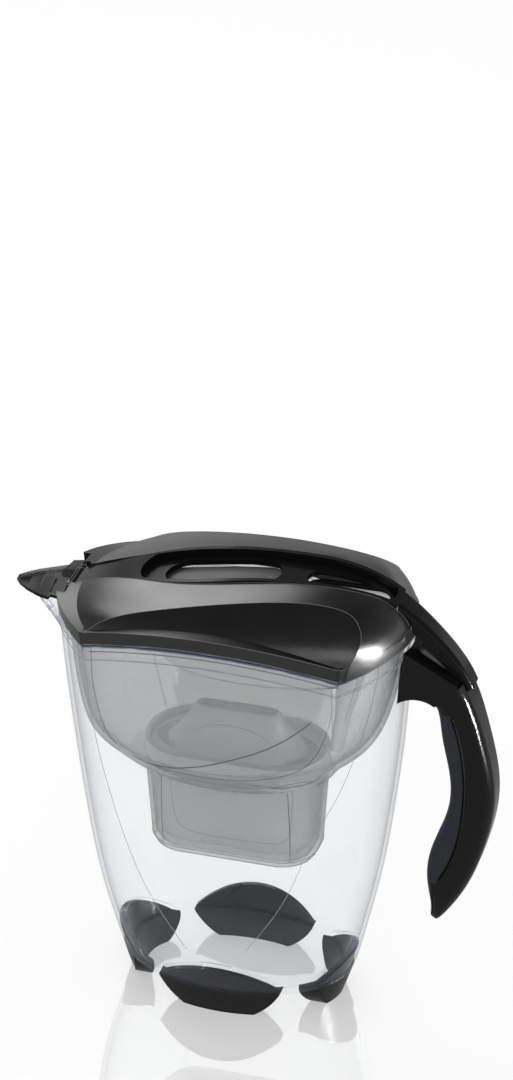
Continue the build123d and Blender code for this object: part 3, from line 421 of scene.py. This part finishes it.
def clear(name, tint, edge, least, most, power, painted_lighter_tint=None, painted_lighter_least=0.0):
    """Clear plastic: each face dims what is behind it, more so at its edges, and mirrors a little.

    With a lighter tint, the piece's attribute smoke_amount sets each face between that and the full one: a
    tone painted by region, as shade and light."""
    shader = Shader(name)
    facing = shader.add("LayerWeight", Blend=0.5)
    amount = shader.math("POWER", facing.outputs["Facing"], power)
    through = shader.add("BsdfTransparent")
    if painted_lighter_tint:
        # Painted shade and light: the attribute picks each face's tone between the two tints.
        smoke = shader.add("Attribute", {"attribute_name": "smoke_amount"})
        both = shader.add("MixRGB")
        shader.put(both, "Fac", smoke.outputs["Fac"])
        shader.put(both, "Color1", painted_lighter_tint)
        shader.put(both, "Color2", tint)
        shader.put(through, "Color", both)
        least = shader.spread(smoke.outputs["Fac"], 0.0, 1.0, painted_lighter_least, least)
    else:
        shader.put(through, "Color", tint)
    haze = shader.spread(amount, 0.0, 1.0, least, most)
    veil = shader.add("BsdfPrincipled")
    shader.put(veil, "Base Color", edge)
    shader.put(veil, "Roughness", 0.25)
    shader.put(veil, "Specular IOR Level", 0.2)
    wall = shader.add("MixShader")
    shader.put(wall, "0", haze)
    shader.put(wall, "1", through)
    shader.put(wall, "2", veil)
    wave = shader.noise(0.03, detail=2.0)
    bump = shader.bump(wave.outputs["Fac"], 0.15, 0.0004)
    mirror = shader.add("BsdfGlossy", Roughness=0.03)
    shader.put(mirror, "Normal", bump)
    graze = shader.math("POWER", facing.outputs["Facing"], 5.0)
    skin = shader.add("MixShader")
    shader.put(skin, "0", shader.spread(graze, 0.0, 1.0, 0.03, 0.42))
    shader.put(skin, "1", wall)
    shader.put(skin, "2", mirror)
    return shader.finish(skin)


def metal(name, colour, roughness):
    """Brushed metal: its scratches run along one way and vary the shine."""
    shader = Shader(name)
    scratches = shader.noise(0.0012, scale=(1, 1, 0.1))
    rough = shader.spread(scratches.outputs["Fac"], 0.3, 0.7, roughness - 0.06, roughness + 0.08)
    body = shader.add("BsdfPrincipled", Metallic=1.0)
    shader.put(body, "Base Color", colour)
    shader.put(body, "Roughness", rough)
    return shader.finish(body)


materials = {}


def make_materials():
    """Moulded takes roughness, its spread, the grain's width and depth in metres, and the specular
    level. Clear takes the least and the most veil, and how late it grows toward the edges."""
    c = bpy.context.scene.pitcher_colours
    materials.update({
        "lid_black": moulded("lid_black", c.gloss_black, 0.30, 0.02, 0.006, 0.000004, 0.72),
        "handle_black": moulded("handle_black", c.gloss_black, 0.14, 0.02, 0.004, 0.000004, 0.22),
        "spine_black": moulded("spine_black", c.gloss_black, 0.16, 0.02, 0.004, 0.000004, 0.15),
        "beak_black": moulded("beak_black", c.gloss_black, 0.20, 0.02, 0.004, 0.000004, 0.09),
        # A grey much lighter than the gloss black, for beads and lines: painted highlights where rounded
        # edges would catch the light.
        "edge_shine": moulded("edge_shine", (0.14, 0.142, 0.145), 0.22, 0.03, 0.004, 0.000004, 0.6),
        "satin_black": moulded("satin_black", (0.035, 0.036, 0.038), 0.38, 0.05),
        # Near black and matte, for a bar laid along a groove: painted shade in the recess.
        "groove_black": moulded("groove_black", (0.0015, 0.0015, 0.0016), 0.65, 0.03, level=0.05),
        "foot_black": moulded("foot_black", c.foot_black, 0.30, 0.04, level=0.22),
        "grip_grey": moulded("grip_grey", c.grip_grey, 0.45, 0.05, 0.0005, 0.00004, 0.25),
        "pad_grey": moulded("pad_grey", (0.045, 0.047, 0.05), 0.6, 0.05, 0.0005, 0.00004),
        "flap_grey": moulded("flap_grey", (0.03, 0.031, 0.033), 0.38, 0.05),
        "white": moulded("white", c.white, 0.42, 0.04, 0.0008, 0.00001),
        "mesh_grey": moulded("mesh_grey", (0.72, 0.73, 0.75), 0.6, 0.05),
        "beads": moulded("beads", (0.45, 0.36, 0.24), 0.6, 0.05, 0.001, 0.0004),
        "meter_grey": moulded("meter_grey", c.meter_grey, 0.42, 0.04),
        "screen": moulded("screen", c.screen, 0.12, 0.03),
        "segment": moulded("segment", (0.004, 0.006, 0.006), 0.3, 0.03, level=0.2),
        "line_grey": moulded("line_grey", (0.48, 0.50, 0.53), 0.5, 0.05),
        "board": moulded("board", (0.01, 0.13, 0.05), 0.4, 0.05),
        "steel": metal("steel", (0.62, 0.62, 0.64), 0.22),
        "jug_clear": clear("jug_clear", c.jug_tint, (0.58, 0.63, 0.70), 0.004, 0.40, 4.5),
        # The next two tint beads darker than the jug's wall: painted shade along its rim and creases.
        "jug_edge": clear("jug_edge", (0.62, 0.66, 0.76), (0.22, 0.25, 0.36), 0.30, 0.95, 1.5),
        "jug_crease": clear("jug_crease", (0.80, 0.82, 0.86), (0.5, 0.52, 0.58), 0.25, 0.8, 1.5),
        "smoke_clear": clear("smoke_clear", c.smoke_tint, (0.34, 0.342, 0.344), 0.22, 0.82, 3.5,
                             c.smoke_painted_lighter, 0.07),
        # The next two tint the funnel's beads and lines darker: painted shade along its rim, creases and
        # folds.
        "smoke_edge": clear("smoke_edge", (0.48, 0.49, 0.50), (0.09, 0.095, 0.10), 0.30, 0.90, 1.5),
        "smoke_crease": clear("smoke_crease", (0.62, 0.63, 0.64), (0.16, 0.165, 0.17), 0.25, 0.85, 1.5),
        "frame_clear": clear("frame_clear", (0.965, 0.968, 0.972), (0.66, 0.67, 0.69), 0.16, 0.6, 3.0),
        # Beads darker than the frame: painted shade along its edges.
        "frame_edge": clear("frame_edge", (0.55, 0.55, 0.58), (0.12, 0.12, 0.13), 0.30, 0.95, 1.5),
    })


def own(piece, body, nodes, material_names):
    """Gives a finished piece its body and its materials, and hides the nodes that it stands for."""
    piece.data.materials.clear()
    for name in material_names:
        piece.data.materials.append(materials[name])
    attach(piece, body)
    if nodes:
        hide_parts(*nodes)
    return piece


def add_object(name, mesh):
    piece = bpy.data.objects.new(name, mesh)
    bpy.context.scene.collection.objects.link(piece)
    return piece


def smooth(mesh, angle):
    mesh.shade_smooth()
    mesh.set_sharp_from_angle(angle=radians(angle))


def settled(piece):
    """The piece with its modifiers worked into a plain mesh."""
    graph = bpy.context.evaluated_depsgraph_get()
    mesh = bpy.data.meshes.new_from_object(piece.evaluated_get(graph), depsgraph=graph)
    piece.modifiers.clear()
    old = piece.data
    piece.data = mesh
    bpy.data.meshes.remove(old)
    mesh.name = piece.name
    return piece


def even_normals(piece):
    """Shades large flat faces flat and lets the small ones beside them carry the curve."""
    weighting = piece.modifiers.new("weights", "WEIGHTED_NORMAL")
    weighting.keep_sharp = True
    weighting.weight = 60
    return settled(piece)


def node_copy(node, name, angle=28.0):
    """The node's own surface, merged and smoothly shaded."""
    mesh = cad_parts[node].data.copy()
    mesh.name = name
    work = bmesh.new()
    work.from_mesh(mesh)
    bmesh.ops.remove_doubles(work, verts=work.verts, dist=0.002 * MM)
    work.to_mesh(mesh)
    work.free()
    if "custom_normal" in mesh.attributes:
        mesh.attributes.remove(mesh.attributes["custom_normal"])
    smooth(mesh, angle)
    piece = add_object(name, mesh)
    return even_normals(piece)


def dress(node, body, material, angle=28.0):
    """The node's own surface as a finished piece."""
    piece = node_copy(node, node + "_skin", angle)
    return own(piece, body, [node], [material])


def dress_pin(node, body, play=0.06):
    """A steel pin along Y, thinner by its play, so that it clears the flats of its round hole."""
    low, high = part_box(node)
    middle = Vector(((low[0] + high[0]) / 2, 0, (low[2] + high[2]) / 2))
    thinner = 1 - play * MM / ((high[2] - low[2]) / 2)
    pin = dress(node, body, "steel")
    for vertex in pin.data.vertices:
        for axis in (0, 2):
            vertex.co[axis] = middle[axis] + (vertex.co[axis] - middle[axis]) * thinner


def rim_height(x, y):
    """Height of the jug's waved rim at a place in the pitcher's own millimetres."""
    if abs(x - side_middle) < side_reach:
        return rim_corner + side_rise * (1 - ((x - side_middle) / side_reach) ** 2)
    return rim_corner + end_rise * (1 - (y / end_reach) ** 2)


def edge_beads(node, body, material, angle=30.0, radius=0.3, low=0.0, part="edges", skip=None,
               rim_depth=None):
    """Beads of another finish along the node's sharp edges: painted shade where thick clear edges would
    bend the light, and painted highlights on black edges.

    Skip is a box, given by its two corners, in which no edge gets a bead. With a rim depth, only
    edges down to that depth below the rim get one."""
    piece = node_copy(node, node + "_" + part, angle)
    work = bmesh.new()
    work.from_mesh(piece.data)
    drop = []
    for vertex in work.verts:
        x, y, z = vertex.co.x / MM - AXIS_X, vertex.co.y / MM, vertex.co.z / MM
        if skip and all(skip[0][i] < (x, y, z)[i] < skip[1][i] for i in range(3)):
            drop.append(vertex)
        elif rim_depth and z < rim_height(x, y) - rim_depth:
            drop.append(vertex)
    bmesh.ops.delete(work, geom=drop, context="VERTS")
    work.to_mesh(piece.data)
    work.free()
    recipes["edge_beads"].apply(piece, Angle=radians(angle), Low=low * MM, Radius=radius * MM,
                                Finish=materials[material])
    return own(piece, body, [], [material])


def line_mesh(name, lines):
    """Loose edges through each line's points."""
    points = [at(*point) for line in lines for point in line]
    edges = []
    start = 0
    for line in lines:
        edges += [(i, i + 1) for i in range(start, start + len(line) - 1)]
        start += len(line)
    mesh = bpy.data.meshes.new(name)
    mesh.from_pydata(points, edges, [])
    return add_object(name, mesh)


def rim_lines(below):
    """Lines evenly below the funnel's waved rim, along its two sides and round its handle end."""
    corner = funnel_corner - below
    shares = [k / 8 for k in range(-8, 9)]
    lines = []
    for side in (-1, 1):
        line = []
        for share in shares:
            x = side_middle + funnel_side_reach * share
            half_width = 57.6 - (x + 2.3) ** 2 / 710
            line.append((x, side * half_width, corner + side_rise * (1 - share ** 2)))
        lines.append(line)
    line = []
    for share in shares:
        turn = radians(funnel_end_turn * share)
        line.append((funnel_end_radii[0] * cos(turn), funnel_end_radii[1] * sin(turn),
                     corner + end_rise * (1 - share ** 2)))
    lines.append(line)
    return lines


def laid_lines(name, lines, node, body, material, radius=0.3):
    """Lines laid on a node's surface."""
    ground = node_copy(node, name + "_ground")
    piece = line_mesh(name, lines)
    recipes["laid_lines"].apply(piece, Surface=ground, Radius=radius * MM, Finish=materials[material])
    mesh = ground.data
    bpy.data.objects.remove(ground)
    bpy.data.meshes.remove(mesh)
    return own(piece, body, [], [material])


def turned(name, profile, centre, sides=48):
    """A solid of revolution about an upright axis: radius and height of each ring, top last."""
    mesh = bpy.data.meshes.new(name)
    points = []
    for radius, height in profile:
        for i in range(sides):
            turn = 2 * pi * i / sides
            points.append(at(centre[0] + radius * cos(turn), centre[1] + radius * sin(turn), height))
    faces = []
    for ring in range(len(profile) - 1):
        base = ring * sides
        for i in range(sides):
            after = (i + 1) % sides
            faces.append((base + i, base + after, base + sides + after, base + sides + i))
    faces.append(tuple(reversed(range(sides))))
    faces.append(tuple(range((len(profile) - 1) * sides, len(profile) * sides)))
    mesh.from_pydata(points, [], faces)
    smooth(mesh, 40)
    return add_object(name, mesh)


def bevelled(node, name, width, segments=2, angle=40.0):
    """The node's own shape with its flat faces whole and its sharp edges rounded a little."""
    piece = node_copy(node, name)
    work = bmesh.new()
    work.from_mesh(piece.data)
    bmesh.ops.dissolve_limit(work, angle_limit=radians(1.0), verts=work.verts, edges=work.edges)
    work.to_mesh(piece.data)
    work.free()
    rounding = piece.modifiers.new("rounding", "BEVEL")
    rounding.width = width * MM
    rounding.segments = segments
    rounding.limit_method = "ANGLE"
    rounding.angle_limit = radians(angle)
    rounding.use_clamp_overlap = True
    settled(piece)
    smooth(piece.data, angle)
    return even_normals(piece)


def woven(node, body, material, pitch, radius):
    """Strands both ways over the node's top, as far as it reaches."""
    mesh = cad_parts[node].data
    surface = BVHTree.FromPolygons([vertex.co for vertex in mesh.vertices],
                                   [tuple(face.vertices) for face in mesh.polygons])
    low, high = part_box(node)
    step = 0.5 * MM
    points = []
    edges = []
    for along, across in ((0, 1), (1, 0)):
        lines = int((high[across] - low[across]) / (pitch * MM))
        for k in range(1, lines + 1):
            before = False
            for i in range(int((high[along] - low[along]) / step) + 1):
                place = [0.0, 0.0, high[2] + MM]
                place[along] = low[along] + i * step
                place[across] = low[across] + (k - 0.5) * pitch * MM
                hit = surface.ray_cast(Vector(place), Vector((0, 0, -1)), 2 * MM)[0]
                if hit:
                    points.append((place[0], place[1], hit.z))
                    if before:
                        edges.append((len(points) - 2, len(points) - 1))
                before = bool(hit)
    strands = bpy.data.meshes.new(node + "_weave")
    strands.from_pydata(points, edges, [])
    piece = add_object(node + "_weave", strands)
    recipes["strands"].apply(piece, Radius=radius * MM, Finish=materials[material])
    return own(piece, body, [], [material])


# The two ends of each of a figure's seven segments, in figure widths across and half heights up.
segment_ends = [((0, 2), (1, 2)), ((0, 1), (0, 2)), ((1, 1), (1, 2)), ((0, 1), (1, 1)),
                ((0, 0), (0, 1)), ((1, 0), (1, 1)), ((0, 0), (1, 0))]


def screen_segments(figures=4, width=2.5, half_height=2.3, pitch=4.1, gap=0.35, margin=1.6,
                    lift=0.04, bars=3, bar_room=4.6, bar_step=0.9):
    """Figures with every segment lit, and beside them bars that grow longer, on the display."""
    low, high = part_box("meter_display")
    left = high[0] / MM - AXIS_X - margin - pitch * figures
    base = (low[1] + high[1]) / 2 / MM - half_height
    level = high[2] / MM + lift
    lines = []
    for place in range(figures):
        start = left + place * pitch
        for ends in segment_ends:
            line = []
            for (across, up), (other_across, other_up) in (ends, ends[::-1]):
                x = across + (other_across - across) * gap / width
                y = up + (other_up - up) * gap / half_height
                line.append((start + x * width, base + y * half_height, level))
            lines.append(line)
    start = left - bar_room
    for bar in range(bars):
        y = base + (0.35 + 0.65 * bar) * half_height
        lines.append([(start, y, level), (start + bar_step * (bar + 1), y, level)])
    piece = line_mesh("screen_segments", lines)
    return recipes["flat_bars"].apply(piece, Width=0.8 * MM, Height=0.08 * MM,
                                      Finish=materials["segment"])


class PITCHER_OT_jug(bpy.types.Operator):
    """Make the clear jug"""
    bl_idname = "pitcher.make_jug"
    bl_label = "Jug"

    def execute(self, context):
        dress("jug_body", "jug", "jug_clear")
        # Darker beads along the rim and creases, and a darker line at the hook: painted shade where thick
        # clear edges would bend the light.
        edge_beads("jug_body", "jug", "jug_edge", angle=50.0, radius=0.45,
                   rim_depth=4.0)
        edge_beads("jug_body", "jug", "jug_crease", angle=8.0, radius=0.22,
                   low=33.0, part="creases")
        laid_lines("jug_hook", hook_line, "jug_body", "jug", "jug_edge", radius=0.4)
        return {"FINISHED"}


class PITCHER_OT_feet(bpy.types.Operator):
    """Make the four black feet"""
    bl_idname = "pitcher.make_feet"
    bl_label = "Feet"

    def execute(self, context):
        for side in ("front", "back", "spout", "handle"):
            dress("foot_" + side, "jug", "foot_black")
        return {"FINISHED"}


class PITCHER_OT_handle(bpy.types.Operator):
    """Make the handle with its grip, capsule and pad"""
    bl_idname = "pitcher.make_handle"
    bl_label = "Handle"

    def execute(self, context):
        own(bevelled("handle_shell", "handle_shell_skin", width=1.6, segments=4), "jug",
            ["handle_shell"], ["handle_black"])
        # A dark matte bar along each groove: painted shade in the recess between the shell and its inlay.
        laid_lines("handle_groove", groove_lines, "handle_shell", "jug", "groove_black",
                   radius=0.9)
        dress("handle_grip", "jug", "grip_grey")
        dress("handle_locator", "jug", "satin_black")
        dress("handle_pad", "jug", "pad_grey")
        return {"FINISHED"}


class PITCHER_OT_funnel(bpy.types.Operator):
    """Make the smoke funnel"""
    bl_idname = "pitcher.make_funnel"
    bl_label = "Funnel"

    def execute(self, context):
        bowl = dress("funnel", "funnel", "smoke_clear")
        # Each face's tone is painted by which way it faces and where it is: the panels and chamber darker
        # and the bottom and ends lighter, as painted shade and light on one smoke plastic.
        smoke = bowl.data.attributes.new("smoke_amount", "FLOAT", "FACE")
        for face in bowl.data.polygons:
            along, across, upright = (abs(share) for share in face.normal)
            if face.center.z < chamber_top:
                amount = chamber_painted_shade
            elif upright > level_share:
                amount = bottom_painted_shade
            elif across > panel_share * along:
                amount = panel_painted_shade
            else:
                amount = end_painted_shade
            smoke.data[face.index].value = amount
        # Darker beads and lines along the rim, creases, fold and chamber corners: painted shade where thick
        # clear edges would bend the light.
        edge_beads("funnel", "funnel", "smoke_edge", angle=50.0, radius=0.45,
                   low=225.0)
        edge_beads("funnel", "funnel", "smoke_crease", angle=12.0, radius=0.20,
                   part="creases", skip=chamber_inside)
        laid_lines("funnel_fold", rim_lines(rim_fold), "funnel", "funnel", "smoke_crease",
                   radius=0.26)
        laid_lines("funnel_lines", funnel_lines, "funnel", "funnel", "smoke_edge")
        laid_lines("chamber_lines", chamber_lines, "funnel", "funnel", "smoke_crease",
                   radius=0.24)
        return {"FINISHED"}


class PITCHER_OT_cartridge(bpy.types.Operator):
    """Make the white cartridge"""
    bl_idname = "pitcher.make_cartridge"
    bl_label = "Cartridge"

    def execute(self, context):
        dress("cartridge_cup", "cartridge", "white")
        dress("cartridge_head", "cartridge", "white")
        laid_lines("cup_lines", cup_lines, "cartridge_cup", "cartridge",
                   "line_grey", radius=0.22)
        laid_lines("dome_lines", dome_lines, "cartridge_head", "cartridge",
                   "line_grey", radius=0.18)
        dress("cartridge_top_mesh", "cartridge", "mesh_grey")
        woven("cartridge_top_mesh", "cartridge", "mesh_grey", pitch=1.6, radius=0.22)
        dress("cartridge_bottom_mesh", "cartridge", "mesh_grey")
        dress("filter_media", "cartridge", "beads")
        return {"FINISHED"}


class PITCHER_OT_meter(bpy.types.Operator):
    """Make the water meter, its probe and its pull loop"""
    bl_idname = "pitcher.make_meter"
    bl_label = "Meter"

    def execute(self, context):
        dress("meter_frame", "meter", "frame_clear")
        # Darker beads along the frame's edges: painted shade where thick clear edges would bend the light.
        edge_beads("meter_frame", "meter", "frame_edge", angle=40.0, radius=0.16)
        own(bevelled("meter_case", "meter_case_skin", width=0.7), "meter", ["meter_case"],
            ["meter_grey"])
        dress("meter_display", "meter", "screen")
        own(screen_segments(), "meter", [], ["segment"])
        dress("meter_board", "meter", "board")
        dress("meter_cell", "meter", "steel")
        dress("meter_probe", "meter", "white")
        dress("meter_electrodes", "meter", "steel")
        laid_lines("probe_line", probe_lines, "meter_probe", "meter", "line_grey",
                   radius=0.25)
        low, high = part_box("meter_button")
        rise = high[2] / MM
        button = turned("meter_button_skin", [
            (3.8, low[2] / MM), (3.8, rise - 1.7), (3.65, rise - 1.5), (3.1, rise - 1.45),
            (2.95, rise - 1.2), (2.75, rise - 0.7), (2.3, rise - 0.3), (1.5, rise - 0.08), (0.4, rise)],
            ((low[0] + high[0]) / 2 / MM - AXIS_X, 0))
        own(button, "button", ["meter_button"], ["meter_grey"])
        dress("pull_loop", "loop", "frame_clear")
        # Darker beads along the loop's edges: painted shade, as on the frame.
        edge_beads("pull_loop", "loop", "frame_edge", angle=40.0, radius=0.14)
        return {"FINISHED"}


class PITCHER_OT_lid(bpy.types.Operator):
    """Make the lid's hood and spine"""
    bl_idname = "pitcher.make_lid"
    bl_label = "Lid"

    def execute(self, context):
        dress("lid_hood", "lid", "lid_black", angle=12.0)
        # Lighter beads along the hood's sharp edges: painted highlights where rounded edges would catch the
        # light.
        edge_beads("lid_hood", "lid", "edge_shine", angle=14.0, radius=0.16, low=251.0)
        dress("lid_spine", "lid", "spine_black")
        dress_pin("flap_pin", "lid")
        low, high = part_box("flap_spring")
        wire = 0.3 * MM
        coil = add_object("flap_spring_skin", bpy.data.meshes.new("flap_spring_skin"))
        recipes["coil"].apply(
            coil, Radius=(high[2] - low[2]) / 2 - wire, Length=high[1] - low[1] - 2 * wire, Turns=4.0,
            Wire=wire, Place=((low[0] + high[0]) / 2, low[1] + wire, (low[2] + high[2]) / 2),
            Finish=materials["steel"])
        own(coil, "lid", ["flap_spring"], ["steel"])
        dress_pin("beak_pin", "lid")
        return {"FINISHED"}


class PITCHER_OT_covers(bpy.types.Operator):
    """Make the fill flap and the spout's cover"""
    bl_idname = "pitcher.make_covers"
    bl_label = "Flap and spout cover"

    def execute(self, context):
        dress("fill_flap", "flap", "flap_grey")
        # A chevron in the trough, drawn as a light line: a painted highlight.
        laid_lines("trough_mark", trough_mark, "fill_flap", "flap", "edge_shine",
                   radius=0.45)
        dress("beak_cover", "beak", "beak_black")
        # Lighter beads along the cover's crest and edges: painted highlights.
        edge_beads("beak_cover", "beak", "edge_shine", radius=0.2, low=249.6)
        return {"FINISHED"}


def floor_material(glow_share=0.60, mirror_share=0.30, dim_share=0.60, dim_level=0.12):
    """White floor: the camera sees it near white, with its shadows and a faint mirror image."""
    shader = Shader("floor")
    path = shader.add("LightPath")
    seen = shader.math("MAXIMUM", path.outputs["Is Camera Ray"], path.outputs["Is Glossy Ray"])
    seen = shader.math("MAXIMUM", seen, path.outputs["Is Transmission Ray"])
    glow = shader.add("Emission", Color=(1, 1, 1, 1), Strength=1.0)
    body = shader.add("BsdfDiffuse", Color=(0.92, 0.92, 0.92, 1))
    mix = shader.add("MixShader")
    shader.put(mix, "0", shader.math("MULTIPLY", seen, glow_share))
    shader.put(mix, "1", body)
    shader.put(mix, "2", glow)
    mirror = shader.add("BsdfGlossy", Color=(1, 1, 1, 1), Roughness=0.0)
    polish = shader.add("MixShader")
    shader.put(polish, "0", shader.math("MULTIPLY", path.outputs["Is Camera Ray"], mirror_share))
    shader.put(polish, "1", mix)
    shader.put(polish, "2", mirror)
    # In the pieces' mirror images the floor is dimmer than the camera sees it.
    dim = shader.add("Emission", Color=(1, 1, 1, 1), Strength=dim_level)
    floor = shader.add("MixShader")
    shader.put(floor, "0", shader.math("MULTIPLY", path.outputs["Is Glossy Ray"], dim_share))
    shader.put(floor, "1", polish)
    shader.put(floor, "2", dim)
    return shader.finish(floor)


# What the pieces' mirror images see of the world: its level at each height, up to overhead.
ceiling = [(0.14, 1.0), (0.24, 0.34), (0.55, 0.22), (0.82, 0.06)]


def make_world(light_level=0.85):
    """White round the horizon and a darker ceiling in mirror images, plain light for everything else."""
    world = bpy.data.worlds.new("studio")
    bpy.context.scene.world = world
    world.use_nodes = True
    tree = world.node_tree
    tree.nodes.clear()
    output = tree.nodes.new("ShaderNodeOutputWorld")
    place = tree.nodes.new("ShaderNodeTexCoord")
    split = tree.nodes.new("ShaderNodeSeparateXYZ")
    tree.links.new(place.outputs["Generated"], split.inputs[0])
    ramp = tree.nodes.new("ShaderNodeValToRGB")
    steps = ramp.color_ramp.elements
    steps[0].position, steps[1].position = ceiling[0][0], ceiling[-1][0]
    for height, _ in ceiling[1:-1]:
        steps.new(height)
    for step, (_, level) in zip(steps, ceiling):
        step.color = (level, level, level, 1.0)
    tree.links.new(split.outputs["Z"], ramp.inputs[0])
    path = tree.nodes.new("ShaderNodeLightPath")
    glossy = tree.nodes.new("ShaderNodeMix")
    glossy.data_type = "FLOAT"
    glossy.inputs["A"].default_value = light_level
    tree.links.new(path.outputs["Is Glossy Ray"], glossy.inputs["Factor"])
    tree.links.new(ramp.outputs[0], glossy.inputs["B"])
    light = tree.nodes.new("ShaderNodeBackground")
    light.inputs["Color"].default_value = (1, 1, 1, 1)
    # The polished floor mirrors plain white, and so keeps its colour.
    polished = tree.nodes.new("ShaderNodeMix")
    polished.data_type = "FLOAT"
    tree.links.new(path.outputs["Is Singular Ray"], polished.inputs["Factor"])
    tree.links.new(glossy.outputs[0], polished.inputs["A"])
    polished.inputs["B"].default_value = 1.0
    tree.links.new(polished.outputs[0], light.inputs["Strength"])
    tree.links.new(light.outputs[0], output.inputs["Surface"])


def area_light(name, place, aim, width, height, power):
    """A rectangular lamp that faces its aim."""
    lamp = bpy.data.lights.new(name, "AREA")
    lamp.shape = "RECTANGLE"
    lamp.size = width
    lamp.size_y = height
    lamp.energy = power
    holder = bpy.data.objects.new(name, lamp)
    holder.location = place
    holder.rotation_euler = (Vector(place) - Vector(aim)).to_track_quat("Z", "Y").to_euler()
    bpy.context.scene.collection.objects.link(holder)
    return holder


class PITCHER_OT_stage(bpy.types.Operator):
    """Set up the floor, the lamps and the camera"""
    bl_idname = "pitcher.set_stage"
    bl_label = "Stage"

    def execute(self, context):
        scene = context.scene
        view = scene.pitcher_view
        mesh = bpy.data.meshes.new("floor")
        reach = 8.0
        mesh.from_pydata([(-reach, -reach, 0), (reach, -reach, 0), (reach, reach, 0), (-reach, reach, 0)],
                         [], [(0, 1, 2, 3)])
        mesh.materials.append(floor_material())
        add_object("floor", mesh)
        make_world()
        middle = (0, 0, 0.25)
        area_light("back_left_softbox", (-0.9, 1.0, 1.5), middle, 0.9, 0.6, 9)
        area_light("front_softbox", (0.6, -1.6, 1.3), middle, 1.2, 0.8, 7)
        # Two panels that only give highlights: on the handle's ridge and on the lid's left shoulder.
        for name, place, aim, width, height, power, spread in (
                ("right_shine", (0.80, -0.12, 0.12), (0.15, 0, 0.13), 0.10, 0.18, 0.8, 26),
                ("left_shine", (-0.98, 1.57, 1.25), (-0.05, 0, 0.52), 0.35, 0.35, 0.07, 24)):
            panel = area_light(name, place, aim, width, height, power)
            panel.visible_diffuse = False
            panel.data.spread = radians(spread)
        camera = bpy.data.cameras.new("camera")
        camera.lens = view.lens
        camera.sensor_width = 36.0
        back = Vector((sin(view.azimuth) * cos(view.elevation), -cos(view.azimuth) * cos(view.elevation),
                       sin(view.elevation)))
        holder = bpy.data.objects.new("camera", camera)
        target = Vector((0.00018, 0, view.target_height))
        holder.location = target + back * view.distance
        holder.rotation_euler = back.to_track_quat("Z", "Y").to_euler()
        scene.collection.objects.link(holder)
        scene.camera = holder
        scene.view_settings.view_transform = "Standard"
        scene.cycles.transparent_max_bounces = 32
        return {"FINISHED"}


operators = [
    PITCHER_OT_stage, PITCHER_OT_jug, PITCHER_OT_feet, PITCHER_OT_handle, PITCHER_OT_funnel,
    PITCHER_OT_cartridge, PITCHER_OT_meter, PITCHER_OT_lid, PITCHER_OT_covers,
]


class PITCHER_PT_panel(bpy.types.Panel):
    """Lists the pitcher's pieces"""
    bl_idname = "PITCHER_PT_panel"
    bl_label = "Water Filter Pitcher"
    bl_space_type = "VIEW_3D"
    bl_region_type = "UI"
    bl_category = "Pitcher"

    def draw(self, context):
        for operator in operators:
            self.layout.operator(operator.bl_idname)


groups = [PitcherColours, PitcherView]


def register():
    for kind in groups + operators + [PITCHER_PT_panel]:
        bpy.utils.register_class(kind)
    bpy.types.Scene.pitcher_colours = PointerProperty(type=PitcherColours)
    bpy.types.Scene.pitcher_view = PointerProperty(type=PitcherView)


def unregister():
    del bpy.types.Scene.pitcher_view
    del bpy.types.Scene.pitcher_colours
    for kind in reversed(groups + operators + [PITCHER_PT_panel]):
        bpy.utils.unregister_class(kind)


def main():
    register()
    make_recipes()
    make_materials()
    bpy.ops.pitcher.set_stage()
    bpy.ops.pitcher.make_jug()
    bpy.ops.pitcher.make_feet()
    bpy.ops.pitcher.make_handle()
    bpy.ops.pitcher.make_funnel()
    bpy.ops.pitcher.make_cartridge()
    bpy.ops.pitcher.make_meter()
    bpy.ops.pitcher.make_lid()
    bpy.ops.pitcher.make_covers()


if __name__ == "__main__":
    main()
